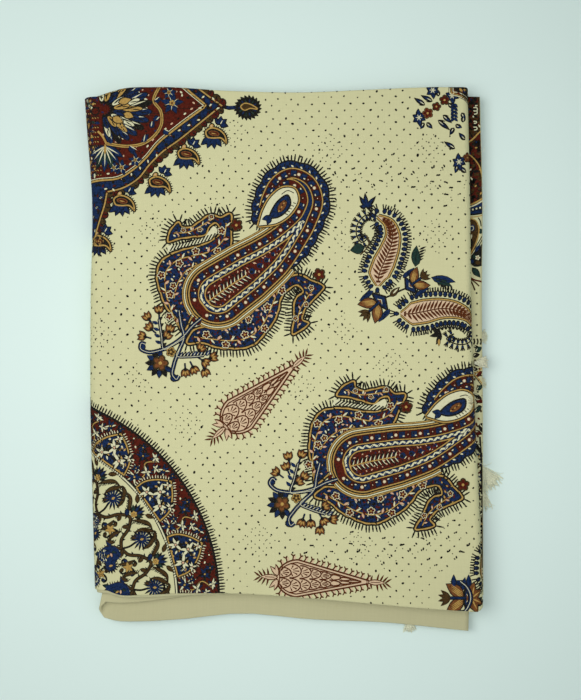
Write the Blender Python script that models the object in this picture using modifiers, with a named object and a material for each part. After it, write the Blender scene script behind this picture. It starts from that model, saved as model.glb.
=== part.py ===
"""A block-printed cotton panel, folded for storage, with the knotted tassels of its fringe.

The cloth is one sheet. It is pleated back and forth along its length into four layers, then the pleated
strip is folded in half across its width, and in half again. Seen from above, the left side is the spine
where every layer turns, the right side has one rolled fold over two free sides, and the near edge shows
the plain back of the pleats beyond the printed top. +X is to the right, +Y away from the near edge, +Z up.
"""

import math
from collections import namedtuple

import bmesh
import bpy

MM = 0.001

# The cloth and how tightly it lies, in millimetres
THICKNESS = 1.0
PITCH = 1.4
LAYERS = 4
PLIES = 4
WAD = LAYERS * PITCH
MIDDLE = THICKNESS / 2 + (PLIES * LAYERS / 2 - 0.5) * PITCH
SPINE_RADIUS = WAD + (LAYERS - 0.5) * PITCH + THICKNESS / 2
ROLL_RADIUS = (LAYERS - 0.5) * PITCH + THICKNESS / 2

# Where the sheet's points lie across a ply, as shares of its width, and in how many steps it turns
ACROSS_SHARES = (0.0, 0.03, 0.09, 0.2, 0.36, 0.56, 0.78, 0.94, 1.0)
SPINE_STEPS = 7
SMALL_TURN_STEPS = 5
PLEAT_STEPS = 4

# The outline seen from above. At each y: x of the spine, of the rolled fold, and of the two free sides under it
SideRow = namedtuple("SideRow", "y spine roll third bottom")
SIDES = (
    SideRow(-186.0, -151.2, 159.3, 161.0, 155.0),
    SideRow(-120.0, -152.3, 156.8, 160.8, 155.0),
    SideRow(-45.0, -153.5, 153.0, 160.6, 155.0),
    SideRow(40.0, -154.1, 150.5, 159.8, 155.0),
    SideRow(120.0, -153.9, 149.6, 160.4, 154.0),
    SideRow(186.0, -157.6, 148.2, 158.8, 149.5),
)

# The far edge: share of the way from spine to right, then y of the top, second, third and bottom ply's pleat
FarRow = namedtuple("FarRow", "across top second third bottom")
FAR = (
    FarRow(0.00, 198.5, 197.0, 197.0, 198.5),
    FarRow(0.07, 204.8, 202.0, 199.5, 201.5),
    FarRow(0.16, 207.2, 204.6, 201.0, 202.4),
    FarRow(0.36, 204.0, 202.2, 201.2, 202.0),
    FarRow(0.56, 202.6, 201.0, 200.6, 201.0),
    FarRow(0.73, 204.4, 202.6, 201.4, 200.0),
    FarRow(0.92, 207.8, 206.4, 200.6, 199.0),
    FarRow(1.00, 207.4, 207.4, 198.8, 197.6),
)

# The near edge: y of the printed hem on top, then of each ply's plain pleat
NearRow = namedtuple("NearRow", "across hem top second third bottom")
NEAR = (
    NearRow(0.00, -194.6, -197.0, -214.5, -214.5, -197.0),
    NearRow(0.03, -198.2, -203.5, -217.5, -218.4, -203.0),
    NearRow(0.09, -198.6, -205.2, -219.0, -220.0, -209.0),
    NearRow(0.20, -197.0, -202.4, -217.2, -218.4, -212.0),
    NearRow(0.36, -197.6, -196.8, -212.8, -213.8, -209.5),
    NearRow(0.56, -201.6, -199.9, -213.8, -215.0, -211.5),
    NearRow(0.78, -207.5, -205.7, -219.4, -220.6, -216.5),
    NearRow(0.94, -211.2, -209.4, -219.8, -225.4, -220.5),
    NearRow(1.00, -212.0, -210.0, -210.0, -227.0, -221.0),
)

# Hems that the top hides, as y at the spine and at the right of each ply
HIDDEN_HEMS = {"second": (-206.0, -212.0), "third": (-206.0, -204.0), "bottom": (-194.6, -203.0)}
INNER_PLEAT_STEP = 1.5
FAR_END_SETBACK = 6.0
BOTTOM_HEM_SIDE = 147.5

# The third ply's plain layers slant in from its printed one towards the near edge
SLANT_FROM = 200.0
SLANT = 0.028

# How far the pile rises and dips, as a share of its height, and the lengths of its waves
SWELL = 0.026
WAVE_X = 75.0
WAVE_Y = 90.0

# The fringe: its yarn, its knots, and the strip of selvedge that the side tassels hang from
YARN = 0.8
KNOT_RADIUS = 1.55
KNOT_GAP = 0.3
STRIP_THICKNESS = 1.0
STRIP_LEFT = 148.3
STRIP_RIGHT = 158.2
STRIP_NEAR = -112.0
STRIP_FAR = 14.0

# Shares of a yarn's length where it bends, and how thick it is there
YARN_BENDS = ((0.0, 0.5), (0.16, 0.7), (0.45, 1.0), (0.75, 1.0), (1.0, 0.6))

# Each tassel: its knot, the way it lies in degrees from +X, its length, its fan in degrees, and the yarns in a row
Tassel = namedtuple("Tassel", "x y heading length fan rows")
SIDE_TASSELS = (
    Tassel(158.4, 10.5, -34.0, 9.5, 60.0, (4, 3)),
    Tassel(158.4, -27.5, -40.0, 7.5, 60.0, (3, 2)),
    Tassel(158.4, -94.0, -50.0, 24.5, 50.0, (6, 5)),
    Tassel(158.4, -107.5, -76.0, 25.0, 24.0, (5, 4)),
)
STRIP_TASSEL = Tassel(155.6, -11.5, -14.0, 13.0, 60.0, (4, 3))
END_TASSEL = Tassel(101.6, -220.3, -84.0, 8.5, 70.0, (4, 3))

CALICO = ("calico", (0.80, 0.77, 0.58, 1.0), 0.9)
FRINGE_COTTON = ("fringe_cotton", (0.70, 0.66, 0.52, 1.0), 0.95)


def clear_scene():
    for obj in list(bpy.data.objects):
        bpy.data.objects.remove(obj)


def material(name, colour, roughness):
    made = bpy.data.materials.new(name)
    made.use_nodes = True
    shader = made.node_tree.nodes["Principled BSDF"]
    shader.inputs["Base Color"].default_value = colour
    shader.inputs["Roughness"].default_value = roughness
    return made


def read(rows, key, column, at):
    """One column of an outline table, straight between its rows and straight on beyond them."""
    after = next((i for i, row in enumerate(rows) if getattr(row, key) > at), len(rows) - 1)
    after = max(after, 1)
    low, high = rows[after - 1], rows[after]
    share = (at - getattr(low, key)) / (getattr(high, key) - getattr(low, key))
    return getattr(low, column) + (getattr(high, column) - getattr(low, column)) * share


def turn(steps):
    """Shares of a half turn, leaving out both ends, which belong to the flat stretches."""
    return [step / steps for step in range(1, steps)]


def stations_across():
    """The sheet's columns from free side to free side, as (section, share from the spine or through the turn)."""
    inward = ACROSS_SHARES[::-1]
    stations = [("third", share) for share in inward]
    stations += [("inner_spine", share) for share in turn(SMALL_TURN_STEPS)]
    stations += [("second", share) for share in ACROSS_SHARES]
    stations += [("roll", share) for share in turn(SMALL_TURN_STEPS)]
    stations += [("top", share) for share in inward]
    stations += [("outer_spine", share) for share in turn(SPINE_STEPS)]
    return stations + [("bottom", share) for share in ACROSS_SHARES]


def stations_along():
    """The sheet's rows from the printed hem to the far end, as (layer or pleat, place along it).

    A place is "low", "high" or the y of an outline row on a layer, and a share of the half turn in a pleat.
    """
    upward = ["low", *(row.y for row in SIDES), "high"]
    downward = upward[::-1]
    stations = [("layer_4", place) for place in upward]
    stations += [("pleat_43", share) for share in turn(PLEAT_STEPS)]
    stations += [("layer_3", place) for place in downward]
    stations += [("pleat_32", share) for share in turn(PLEAT_STEPS)]
    stations += [("layer_2", place) for place in upward]
    stations += [("pleat_21", share) for share in turn(PLEAT_STEPS)]
    return stations + [("layer_1", place) for place in downward]


def ply_ends(ply, across):
    """y of the hem, the near pleat, the two far pleats and the far end of one ply."""
    near_pleat = read(NEAR, "across", ply, across)
    far_pleat = read(FAR, "across", ply, across)
    if ply == "top":
        hem = read(NEAR, "across", "hem", across)
    else:
        at_spine, at_right = HIDDEN_HEMS[ply]
        hem = at_spine + (at_right - at_spine) * across
    return hem, near_pleat, far_pleat, far_pleat - INNER_PLEAT_STEP, near_pleat + FAR_END_SETBACK


def along_ply(ply, across, row):
    """(y, height in the pleated strip) of one row of the sheet."""
    section, place = row
    hem, near_pleat, far_pleat, inner_far_pleat, far_end = ply_ends(ply, across)
    if section.startswith("layer"):
        layer = int(section[-1])
        ends = {
            "low": {4: hem, 3: near_pleat, 2: near_pleat, 1: far_end}[layer],
            "high": far_pleat if layer > 2 else inner_far_pleat,
        }
        return ends.get(place, place), (layer - 0.5) * PITCH
    angle = math.pi * (0.5 - place)
    radius = PITCH / 2
    upper_layer = int(section[-2])
    height = (upper_layer - 1) * PITCH + radius * math.sin(angle)
    if section == "pleat_32":
        return near_pleat - radius * math.cos(angle), height
    far = far_pleat if section == "pleat_43" else inner_far_pleat
    return far + radius * math.cos(angle), height


def free_side(ply, row, y):
    """x of the free side of the third or bottom ply, which isn't quite square."""
    section = row[0]
    edge = read(SIDES, "y", ply, y)
    if ply == "third":
        slants = section in ("layer_3", "layer_2", "pleat_32")
        return edge - SLANT * (SLANT_FROM - y) * slants
    return BOTTOM_HEM_SIDE if section == "layer_4" else edge


def folded(column, row):
    """Where a point of the flat sheet lies once the cloth is folded, in millimetres."""
    section, share = column
    joined = {
        "inner_spine": ("third", "second", 0.0),
        "roll": ("second", "top", 1.0),
        "outer_spine": ("top", "bottom", 0.0),
    }
    if section in joined:
        first, last, across = joined[section]
        y_first, height = along_ply(first, across, row)
        y = y_first + (along_ply(last, across, row)[0] - y_first) * share
    else:
        y, height = along_ply(section, share, row)
    spine = read(SIDES, "y", "spine", y) + SPINE_RADIUS
    roll = read(SIDES, "y", "roll", y) - ROLL_RADIUS
    angle = math.pi * (share - 0.5)
    if section == "inner_spine":
        radius = WAD - height
        return spine - radius * math.cos(angle), y, MIDDLE + radius * math.sin(angle)
    if section == "roll":
        return roll + height * math.cos(angle), y, MIDDLE + WAD + height * math.sin(angle)
    if section == "outer_spine":
        radius = WAD + height
        return spine - radius * math.cos(angle), y, MIDDLE - radius * math.sin(angle)
    right = roll if section in ("second", "top") else free_side(section, row, y)
    level = {"third": height - WAD, "second": WAD - height, "top": WAD + height, "bottom": -WAD - height}[section]
    return spine + (right - spine) * share, y, MIDDLE + level


def settle(x, y, z):
    """The folded cloth's soft unevenness: the pile swells in places, and its underside stays flat."""
    swell = SWELL * (math.sin(x / WAVE_X + 0.8) * math.cos(y / WAVE_Y) + 0.6 * math.sin((x + y) / WAVE_Y))
    base = THICKNESS / 2
    return x * MM, y * MM, (base + (z - base) * (1 + swell)) * MM


def folded_cloth(finish):
    """The whole cloth: a flat grid whose points are moved to where the folds carry them, then given its thickness."""
    columns = stations_across()
    rows = stations_along()
    mesh = bpy.data.meshes.new("cloth")
    grid = bmesh.new()
    bmesh.ops.create_grid(grid, x_segments=len(columns) - 1, y_segments=len(rows) - 1, size=1.0)
    for point in grid.verts:
        column = round((point.co.x + 1) / 2 * (len(columns) - 1))
        row = round((point.co.y + 1) / 2 * (len(rows) - 1))
        point.co = settle(*folded(columns[column], rows[row]))
    bmesh.ops.recalc_face_normals(grid, faces=grid.faces)
    grid.to_mesh(mesh)
    grid.free()
    cloth = bpy.data.objects.new("cloth", mesh)
    thicken = cloth.modifiers.new("Thickness", "SOLIDIFY")
    thicken.thickness = THICKNESS * MM
    thicken.offset = 0.0
    thicken.use_even_offset = True
    cloth.data.materials.append(finish)
    return cloth



def strip_height(x, y):
    """Height of the third ply's printed face, where the top leaves it bare at the right."""
    return settle(x, y, MIDDLE - PITCH / 2 + THICKNESS / 2)[2] / MM


def yarn_line(tassel, floor, row, place, count):
    """One yarn from inside its knot to its loose end, in millimetres: it drops to what it lies on and fans out."""
    share = place / (count - 1) - 0.5
    heading = math.radians(tassel.heading + tassel.fan * share)
    square = math.radians(tassel.heading + 90.0)
    start = share * KNOT_RADIUS
    level = floor + YARN * (0.5 + 1.1 * row)
    rise = floor + KNOT_RADIUS - level
    length = tassel.length * (1.0 - 0.1 * row - 0.07 * ((2 * place + row) % 3))
    line = []
    for along, thickness in YARN_BENDS:
        curl = 0.04 * length * math.sin(math.pi * along) * (-1) ** row
        x = tassel.x + start * math.cos(square) + length * along * math.cos(heading) - curl * math.sin(heading)
        y = tassel.y + start * math.sin(square) + length * along * math.sin(heading) + curl * math.cos(heading)
        z = level + max(rise, 0.0) * max(1.0 - along / YARN_BENDS[1][0], 0.0)
        line.append(((x, y, z), thickness))
    return line


def yarns(tassel, floor):
    """All the yarns of a tassel, as one mesh of four-sided strands."""
    curve = bpy.data.curves.new("yarns", "CURVE")
    curve.dimensions = "3D"
    curve.bevel_depth = YARN / 2 * MM
    curve.bevel_resolution = 0
    curve.use_fill_caps = True
    for row, count in enumerate(tassel.rows):
        for place in range(count):
            spline = curve.splines.new("POLY")
            spline.points.add(len(YARN_BENDS) - 1)
            for point, (at, thickness) in zip(spline.points, yarn_line(tassel, floor, row, place, count)):
                point.co = (*(MM * value for value in at), 1.0)
                point.radius = thickness
    strands = bpy.data.objects.new("yarns", curve)
    bpy.context.scene.collection.objects.link(strands)
    graph = bpy.context.evaluated_depsgraph_get()
    mesh = bpy.data.meshes.new_from_object(strands.evaluated_get(graph))
    bpy.data.objects.remove(strands)
    shape = bmesh.new()
    shape.from_mesh(mesh)
    bmesh.ops.remove_doubles(shape, verts=shape.verts, dist=1e-6)
    bmesh.ops.recalc_face_normals(shape, faces=shape.faces)
    shape.to_mesh(mesh)
    shape.free()
    return mesh


def helper(name, mesh, collection):
    made = bpy.data.objects.new(name, mesh)
    made.hide_render = True
    made.display_type = "WIRE"
    collection.objects.link(made)
    return made


def knot(tassel, floor):
    mesh = bpy.data.meshes.new("knot")
    shape = bmesh.new()
    bmesh.ops.create_uvsphere(shape, u_segments=8, v_segments=6, radius=KNOT_RADIUS * MM)
    bmesh.ops.translate(shape, verts=shape.verts, vec=(tassel.x * MM, tassel.y * MM, (floor + KNOT_RADIUS) * MM))
    shape.to_mesh(mesh)
    shape.free()
    return mesh


def join(base, name, mesh, helpers):
    """Adds a shape to a piece, and makes one body of the two."""
    union = base.modifiers.new(name, "BOOLEAN")
    union.operation = "UNION"
    union.solver = "EXACT"
    union.use_self = True
    union.object = helper(name, mesh, helpers)


def tassel_piece(name, tassel, floor, finish, helpers):
    """A tassel that hangs from its own knot."""
    piece = bpy.data.objects.new(name, knot(tassel, floor))
    join(piece, name + "_yarns", yarns(tassel, floor), helpers)
    piece.data.materials.append(finish)
    return piece


def side_fringe(name, finish, helpers):
    """The strip of selvedge along the right side, with its knots and their yarns."""
    mesh = bpy.data.meshes.new("strip")
    shape = bmesh.new()
    bmesh.ops.create_cube(shape, size=MM)
    size = (STRIP_RIGHT - STRIP_LEFT, STRIP_FAR - STRIP_NEAR, STRIP_THICKNESS)
    middle = ((STRIP_RIGHT + STRIP_LEFT) / 2, (STRIP_FAR + STRIP_NEAR) / 2, STRIP_THICKNESS / 2)
    bmesh.ops.scale(shape, verts=shape.verts, vec=size)
    bmesh.ops.translate(shape, verts=shape.verts, vec=[MM * value for value in middle])
    shape.to_mesh(mesh)
    shape.free()
    strip = bpy.data.objects.new(name, mesh)
    for number, tassel in enumerate(SIDE_TASSELS, 1):
        join(strip, f"{name}_knot_{number}", knot(tassel, 0.0), helpers)
        join(strip, f"{name}_yarns_{number}", yarns(tassel, 0.0), helpers)
    strip.data.materials.append(finish)
    return strip


def main():
    clear_scene()
    panel = bpy.data.collections.new("kalamkari_panel")
    helpers = bpy.data.collections.new("joining_shapes")
    helpers.hide_render = True
    for made in (panel, helpers):
        bpy.context.scene.collection.children.link(made)
    cotton = material(*FRINGE_COTTON)
    strip_floor = strip_height(STRIP_TASSEL.x, STRIP_TASSEL.y) + KNOT_GAP
    pieces = (
        folded_cloth(material(*CALICO)),
        side_fringe("side_fringe", cotton, helpers),
        tassel_piece("strip_tassel", STRIP_TASSEL, strip_floor, cotton, helpers),
        tassel_piece("end_tassel", END_TASSEL, 0.0, cotton, helpers),
    )
    for piece in pieces:
        panel.objects.link(piece)


main()
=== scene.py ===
import math
from math import cos, pi, sin

import bmesh
import bpy
import numpy as np
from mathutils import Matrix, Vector
from mathutils.geometry import delaunay_2d_cdt, tessellate_polygon


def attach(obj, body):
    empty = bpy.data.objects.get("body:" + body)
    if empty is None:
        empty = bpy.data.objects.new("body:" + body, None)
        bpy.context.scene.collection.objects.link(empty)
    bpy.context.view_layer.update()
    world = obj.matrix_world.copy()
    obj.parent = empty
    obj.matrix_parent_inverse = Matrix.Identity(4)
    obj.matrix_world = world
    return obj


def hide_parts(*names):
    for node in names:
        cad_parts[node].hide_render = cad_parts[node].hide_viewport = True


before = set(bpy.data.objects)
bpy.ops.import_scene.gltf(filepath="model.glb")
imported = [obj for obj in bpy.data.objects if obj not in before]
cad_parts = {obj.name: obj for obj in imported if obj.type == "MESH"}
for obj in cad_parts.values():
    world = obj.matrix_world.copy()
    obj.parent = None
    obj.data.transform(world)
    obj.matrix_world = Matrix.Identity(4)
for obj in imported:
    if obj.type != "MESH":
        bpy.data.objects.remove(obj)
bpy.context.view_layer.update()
mm = 0.001
dice = np.random.default_rng(7)

# The folded pile, in millimetres: the same folds as the frame's solid, drawn finer
pile = {
    "cloth": 0.8,
    "pitch": 1.4,
    "layers": 4,
    "middle": 11.0,
    "swell": 0.026,
    "waveX": 75.0,
    "waveY": 90.0,
    "flare": 4.4,
    "flat": (1.243, 1.62),
}

# Seen from above. At each y: x of the spine, of the rolled fold, and of the two free sides under it
sides = {
    "y": (-186.0, -120.0, -45.0, 40.0, 120.0, 186.0),
    "spine": (-152.8, -154.6, -156.4, -156.3, -155.0, -159.6),
    "roll": (159.3, 156.8, 153.0, 150.5, 149.6, 148.2),
    "third": (161.0, 160.8, 160.6, 159.8, 160.4, 158.8),
    "bottom": (155.0, 155.0, 155.0, 155.0, 154.0, 149.5),
}

# The far edge: share of the way from spine to right, then y of each ply's pleat
farEdge = {
    "across": (0.0, 0.07, 0.16, 0.36, 0.56, 0.73, 0.92, 1.0),
    "top": (201.6, 207.8, 209.2, 206.4, 205.2, 207.2, 209.4, 209.4),
    "second": (200.0, 205.0, 206.6, 204.6, 203.6, 205.4, 208.4, 209.4),
    "third": (200.0, 202.0, 203.0, 203.0, 202.6, 203.0, 203.8, 203.6),
    "bottom": (198.5, 201.5, 202.4, 202.0, 201.0, 200.0, 199.0, 197.6),
}

# The near edge: y of the printed hem on top, then of each ply's plain pleat
nearEdge = {
    "across": (0.0, 0.03, 0.09, 0.2, 0.36, 0.56, 0.78, 0.94, 1.0),
    "hem": (-192.4, -195.8, -196.2, -194.8, -195.2, -199.2, -205.1, -208.8, -209.8),
    "top": (-193.6, -196.6, -197.2, -195.8, -194.4, -197.6, -203.4, -207.0, -208.0),
    "second": (-202.0, -202.8, -202.0, -197.6, -194.4, -197.6, -203.4, -207.0, -208.0),
    "third": (-215.5, -218.0, -218.6, -216.8, -212.2, -217.0, -219.8, -224.6, -226.4),
    "bottom": (-195.0, -201.0, -207.5, -210.5, -208.0, -212.0, -214.5, -213.5, -211.0),
}
hiddenHems = {"second": (-192.0, -200.0), "third": (-188.0, -198.0), "bottom": (-192.4, -201.0)}

# Soft creases of the top layer: two ends, half width, and height (a trough is below zero)
creases = (
    {"start": (-150.0, 188.0), "end": (-20.0, 193.0), "wide": 5.0, "rise": 0.35},
    {"start": (-140.0, 176.0), "end": (60.0, 186.0), "wide": 9.0, "rise": -0.22},
    {"start": (-146.0, 60.0), "end": (-128.0, -150.0), "wide": 7.0, "rise": 0.25},
    {"start": (-40.0, 140.0), "end": (20.0, -160.0), "wide": 16.0, "rise": -0.2},
    {"start": (60.0, 190.0), "end": (110.0, 60.0), "wide": 12.0, "rise": 0.25},
    {"start": (-120.0, -170.0), "end": (120.0, -188.0), "wide": 8.0, "rise": 0.3},
    {"start": (90.0, -40.0), "end": (146.0, -190.0), "wide": 11.0, "rise": 0.28},
    {"start": (-100.0, -40.0), "end": (70.0, -70.0), "wide": 14.0, "rise": 0.2},
)


# A smooth curve through one column of a table, straight on beyond its ends
def smoothColumn(table, key, column):
    keys = np.array(table[key])
    values = np.array(table[column])
    slopes = np.gradient(values, keys)

    def valueAt(where):
        where = np.asarray(where, float)
        i = np.clip(np.searchsorted(keys, where) - 1, 0, len(keys) - 2)
        width = keys[i + 1] - keys[i]
        t = np.clip((where - keys[i]) / width, 0.0, 1.0)
        ease = t * t * (3 - 2 * t)
        value = values[i] * (1 - ease) + values[i + 1] * ease
        value = value + width * (slopes[i] * t * (1 - t) ** 2 - slopes[i + 1] * t * t * (1 - t))
        beyond = where - np.clip(where, keys[0], keys[-1])
        return value + beyond * np.where(beyond > 0, slopes[-1], slopes[0])

    return valueAt


sideX = {column: smoothColumn(sides, "y", column) for column in ("spine", "roll", "third", "bottom")}
farY = {column: smoothColumn(farEdge, "across", column) for column in ("top", "second", "third", "bottom")}
nearY = {
    column: smoothColumn(nearEdge, "across", column)
    for column in ("hem", "top", "second", "third", "bottom")
}

pitch = pile["pitch"]
wad = pile["layers"] * pitch
outerLayer = (pile["layers"] - 0.5) * pitch
floorLevel = 0.5
spineReach = wad + outerLayer + 0.5
rollReach = outerLayer + 0.5


def spineCentre(y):
    return sideX["spine"](y) + spineReach


def rollCentre(y):
    return sideX["roll"](y) - rollReach


# The pile swells softly, and its underside stays flat
def settled(x, y, z):
    swell = np.sin(x / pile["waveX"] + 0.8) * np.cos(y / pile["waveY"])
    swell = swell + 0.6 * np.sin((x + y) / pile["waveY"])
    return floorLevel + (z - floorLevel) * (1 + pile["swell"] * swell)


def easeIn(value):
    t = np.clip(value, 0.0, 1.0)
    return t * t * (3 - 2 * t)


# The creases' rises added up at a point, each divided by a power of its half width
def creaseSum(x, y, power=0):
    total = np.zeros(np.broadcast(x, y).shape)
    for crease in creases:
        start = np.array(crease["start"])
        along = np.array(crease["end"]) - start
        length = np.hypot(*along)
        along = along / length
        far = (x - start[0]) * along[0] + (y - start[1]) * along[1]
        wander = 3.0 * np.sin(far / 23.0 + start[0])
        off = (y - start[1]) * along[0] - (x - start[0]) * along[1] + wander
        ends = easeIn((far + 25) / 50) * easeIn((length + 25 - far) / 50)
        rise = abs(crease["rise"]) if power else crease["rise"]
        total = total + rise / crease["wide"] ** power * ends * np.exp(-((off / crease["wide"]) ** 2))
    return total


# How far the creases lift the top layer at a point
def creaseRise(x, y):
    inside = easeIn((x - spineCentre(y)) / 12) * easeIn((rollCentre(y) - x) / 12)
    return creaseSum(x, y) * inside * easeIn((farY["top"]((x + 140) / 285) - y) / 8)


# Where the layers of one ply end: the hem, the near pleat, the two far pleats and the far end
def plyEnds(ply, across):
    nearPleat = nearY[ply](across)
    farPleat = farY[ply](across)
    if ply == "top":
        hem = nearY["hem"](across)
    else:
        atSpine, atRight = hiddenHems[ply]
        hem = atSpine + (atRight - atSpine) * across
    return hem, nearPleat, farPleat, farPleat - 1.5, nearPleat + 24.0


# y and height in the pleated strip of one row of the sheet
def alongPly(ply, across, row):
    section, share = row
    hem, nearPleat, farPleat, innerFarPleat, farEnd = plyEnds(ply, across)
    if section.startswith("layer"):
        layer = int(section[-1])
        low = {4: hem, 3: nearPleat, 2: nearPleat, 1: farEnd}[layer]
        high = farPleat if layer > 2 else innerFarPleat
        return low + (high - low) * share, (layer - 0.5) * pitch
    angle = pi * (0.5 - share)
    height = (int(section[-2]) - 1) * pitch + pitch / 2 * sin(angle)
    bulge = pitch / 2 * cos(angle)
    if section == "pleat32":
        return nearPleat - bulge, height
    return (farPleat if section == "pleat43" else innerFarPleat) + bulge, height


# The free side of the third or bottom ply, which isn't quite square
def freeSide(ply, row, y):
    if ply == "third":
        slants = row[0] in ("layer3", "layer2", "pleat32")
        return sideX["third"](y) - 0.028 * (200.0 - y) * slants
    return 147.5 + 0 * y if row[0] == "layer4" else sideX["bottom"](y)


# Where a point of the flat sheet lies once the cloth is folded
def foldedPoint(column, row):
    section, share = column
    joined = {
        "innerSpine": ("third", "second", 0.0), "roll": ("second", "top", 1.0),
        "outerSpine": ("top", "bottom", 0.0),
    }
    if section in joined:
        first, last, across = joined[section]
        yFirst, height = alongPly(first, across, row)
        y = yFirst + (alongPly(last, across, row)[0] - yFirst) * share
    else:
        y, height = alongPly(section, share, row)
    spine = spineCentre(y)
    roll = rollCentre(y)
    angle = pi * (share - 0.5)
    middle = pile["middle"]
    if section == "innerSpine":
        reach = wad - height
        x, z = spine - reach * cos(angle), middle + reach * sin(angle)
    elif section == "roll":
        x, z = roll + height * cos(angle), middle + wad + height * sin(angle)
    elif section == "outerSpine":
        reach = wad + height
        x, z = spine - reach * cos(angle), middle - reach * sin(angle)
    else:
        right = roll if section in ("second", "top") else freeSide(section, row, y)
        level = {
            "third": height - wad, "second": wad - height, "top": wad + height, "bottom": -wad - height
        }
        x, z = spine + (right - spine) * share, middle + level[section]
    if section in ("third", "innerSpine", "second"):
        inShare = share if section != "innerSpine" else 0.0
        x = x - pile["flare"] * easeIn((-195.0 - y) / 14) * easeIn(1 - 4 * inShare)
    z = settled(x, y, z)
    if section == "top" and row[0] == "layer4":
        z = z + creaseRise(x, y)
    return float(x), float(y), float(z)


# Shares from 0 to 1, closer together at both ends
def shares(count, crowd=0.35):
    t = np.linspace(0.0, 1.0, count)
    return list(t - crowd * np.sin(2 * pi * t) / (2 * pi))


def turnShares(count):
    return [step / count for step in range(1, count)]


def sheetColumns():
    dense = {"third": 26, "second": 16, "top": 88, "bottom": 18}
    columns = [("third", t) for t in shares(dense["third"], 0.7)[::-1]]
    columns += [("innerSpine", t) for t in turnShares(6)]
    columns += [("second", t) for t in shares(dense["second"])]
    columns += [("roll", t) for t in turnShares(18)]
    columns += [("top", t) for t in shares(dense["top"])[::-1]]
    columns += [("outerSpine", t) for t in turnShares(22)]
    return columns + [("bottom", t) for t in shares(dense["bottom"])]


def sheetRows():
    coarse = shares(16)
    rows = [("layer4", t) for t in shares(100, 0.75)]
    rows += [("pleat43", t) for t in turnShares(6)]
    rows += [("layer3", t) for t in coarse[::-1]]
    rows += [("pleat32", t) for t in turnShares(6)]
    rows += [("layer2", t) for t in coarse]
    rows += [("pleat21", t) for t in turnShares(6)]
    return rows + [("layer1", t) for t in coarse[::-1]]


def inScene(name, data):
    made = bpy.data.objects.new(name, data)
    bpy.context.scene.collection.objects.link(made)
    return made


def newObject(name, points, faces):
    mesh = bpy.data.meshes.new(name)
    mesh.from_pydata([tuple(mm * value for value in point) for point in points], [], faces)
    mesh.update()
    mesh.shade_smooth()
    return inScene(name, mesh)


# 1 where the printed face is inside the folds or under the pile, and 0 where the blocks are laid on it
def inFold(column, row):
    onTop = column[0] in ("roll", "top", "outerSpine") and row[0] in ("layer4", "pleat43")
    under = column[0] == "bottom" and row[0] == "layer4" and column[1] < 0.7
    strip = column[0] == "third" and row[0] == "layer4" and column[1] > 0.9
    return 0.0 if onTop or under or strip else 1.0


# How far along each point of a path is
def lengthsAlong(points):
    return np.concatenate([[0], np.cumsum(np.linalg.norm(np.diff(points, axis=0), axis=1))])


# The cloth, as one sheet with a printed face and a plain reverse
def makeSheet():
    columns = sheetColumns()
    rows = sheetRows()
    grid = np.array([[foldedPoint(column, row) for row in rows] for column in columns])
    across = lengthsAlong(grid[:, 8])
    along = lengthsAlong(grid[len(columns) // 2])
    wide, long = len(columns), len(rows)
    faces = []
    for i in range(wide - 1):
        for j in range(long - 1):
            faces.append((i * long + j, i * long + j + 1, (i + 1) * long + j + 1, (i + 1) * long + j))
    sheet = newObject("printedSheet", grid.reshape(-1, 3), faces)
    flat = sheet.data.uv_layers.new(name="flat")
    uv = np.stack(np.meshgrid(across, along, indexing="ij"), axis=-1).reshape(-1, 2) * mm
    corner = np.empty(len(sheet.data.loops), np.int32)
    sheet.data.loops.foreach_get("vertex_index", corner)
    flat.data.foreach_set("uv", uv[corner].ravel())
    hidden = sheet.data.attributes.new("inFold", "FLOAT", "POINT")
    hidden.data.foreach_set("value", [inFold(column, row) for column in columns for row in rows])
    thick = sheet.modifiers.new("cloth", "SOLIDIFY")
    thick.thickness = pile["cloth"] * mm
    thick.offset = 0.0
    thick.use_even_offset = True
    thick.material_offset = 1
    thick.material_offset_rim = 1
    print("sheet", wide, "by", long, "points, flat size", round(across[-1]), "by", round(along[-1]), "mm")
    return sheet


# The print is built from blocks. A block is a list of shapes in its own millimetres:
# (ink, level, points, triangles). Higher levels are printed over lower ones.

# A smooth path through points. A point given twice is a corner
def smoothPath(points, closed=False, step=1.0):
    runs = [[points[0]]]
    for last, point in zip(points, points[1:]):
        if tuple(point) == tuple(last):
            runs.append([point])
        else:
            runs[-1].append(point)
    if closed and len(runs) == 1:
        count = len(points)
        loop = np.array([points[i % count] for i in range(-3, count + 4)], float)
        path = throughPoints(loop, step)
        lengths = lengthsAlong(loop)
        keep = (path[:, 2] >= lengths[3]) & (path[:, 2] < lengths[3 + count])
        return path[keep, :2]
    if closed:
        runs[-1].append(points[0])
    pieces = [throughPoints(np.array(run, float), step)[:, :2] for run in runs if len(run) > 1]
    last = pieces[-1][:-1] if closed else pieces[-1]
    return np.concatenate([piece[:-1] for piece in pieces[:-1]] + [last])


def throughPoints(points, step):
    lengths = lengthsAlong(points)
    count = max(int(lengths[-1] / step), 2) + 1
    at = np.linspace(0, lengths[-1], count)
    slopes = np.gradient(points, lengths, axis=0)
    i = np.clip(np.searchsorted(lengths, at) - 1, 0, len(points) - 2)
    width = (lengths[i + 1] - lengths[i])[:, None]
    t = ((at - lengths[i])[:, None]) / width
    ease = t * t * (3 - 2 * t)
    value = points[i] * (1 - ease) + points[i + 1] * ease
    value = value + width * (slopes[i] * t * (1 - t) ** 2 - slopes[i + 1] * t * t * (1 - t))
    return np.concatenate([value, at[:, None]], axis=1)


def normalsOf(path, closed=False):
    if closed:
        along = np.roll(path, -1, axis=0) - np.roll(path, 1, axis=0)
    else:
        along = np.gradient(path, axis=0)
    along = along / np.maximum(np.hypot(*along.T), 1e-9)[:, None]
    return np.stack([-along[:, 1], along[:, 0]], axis=1)


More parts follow.
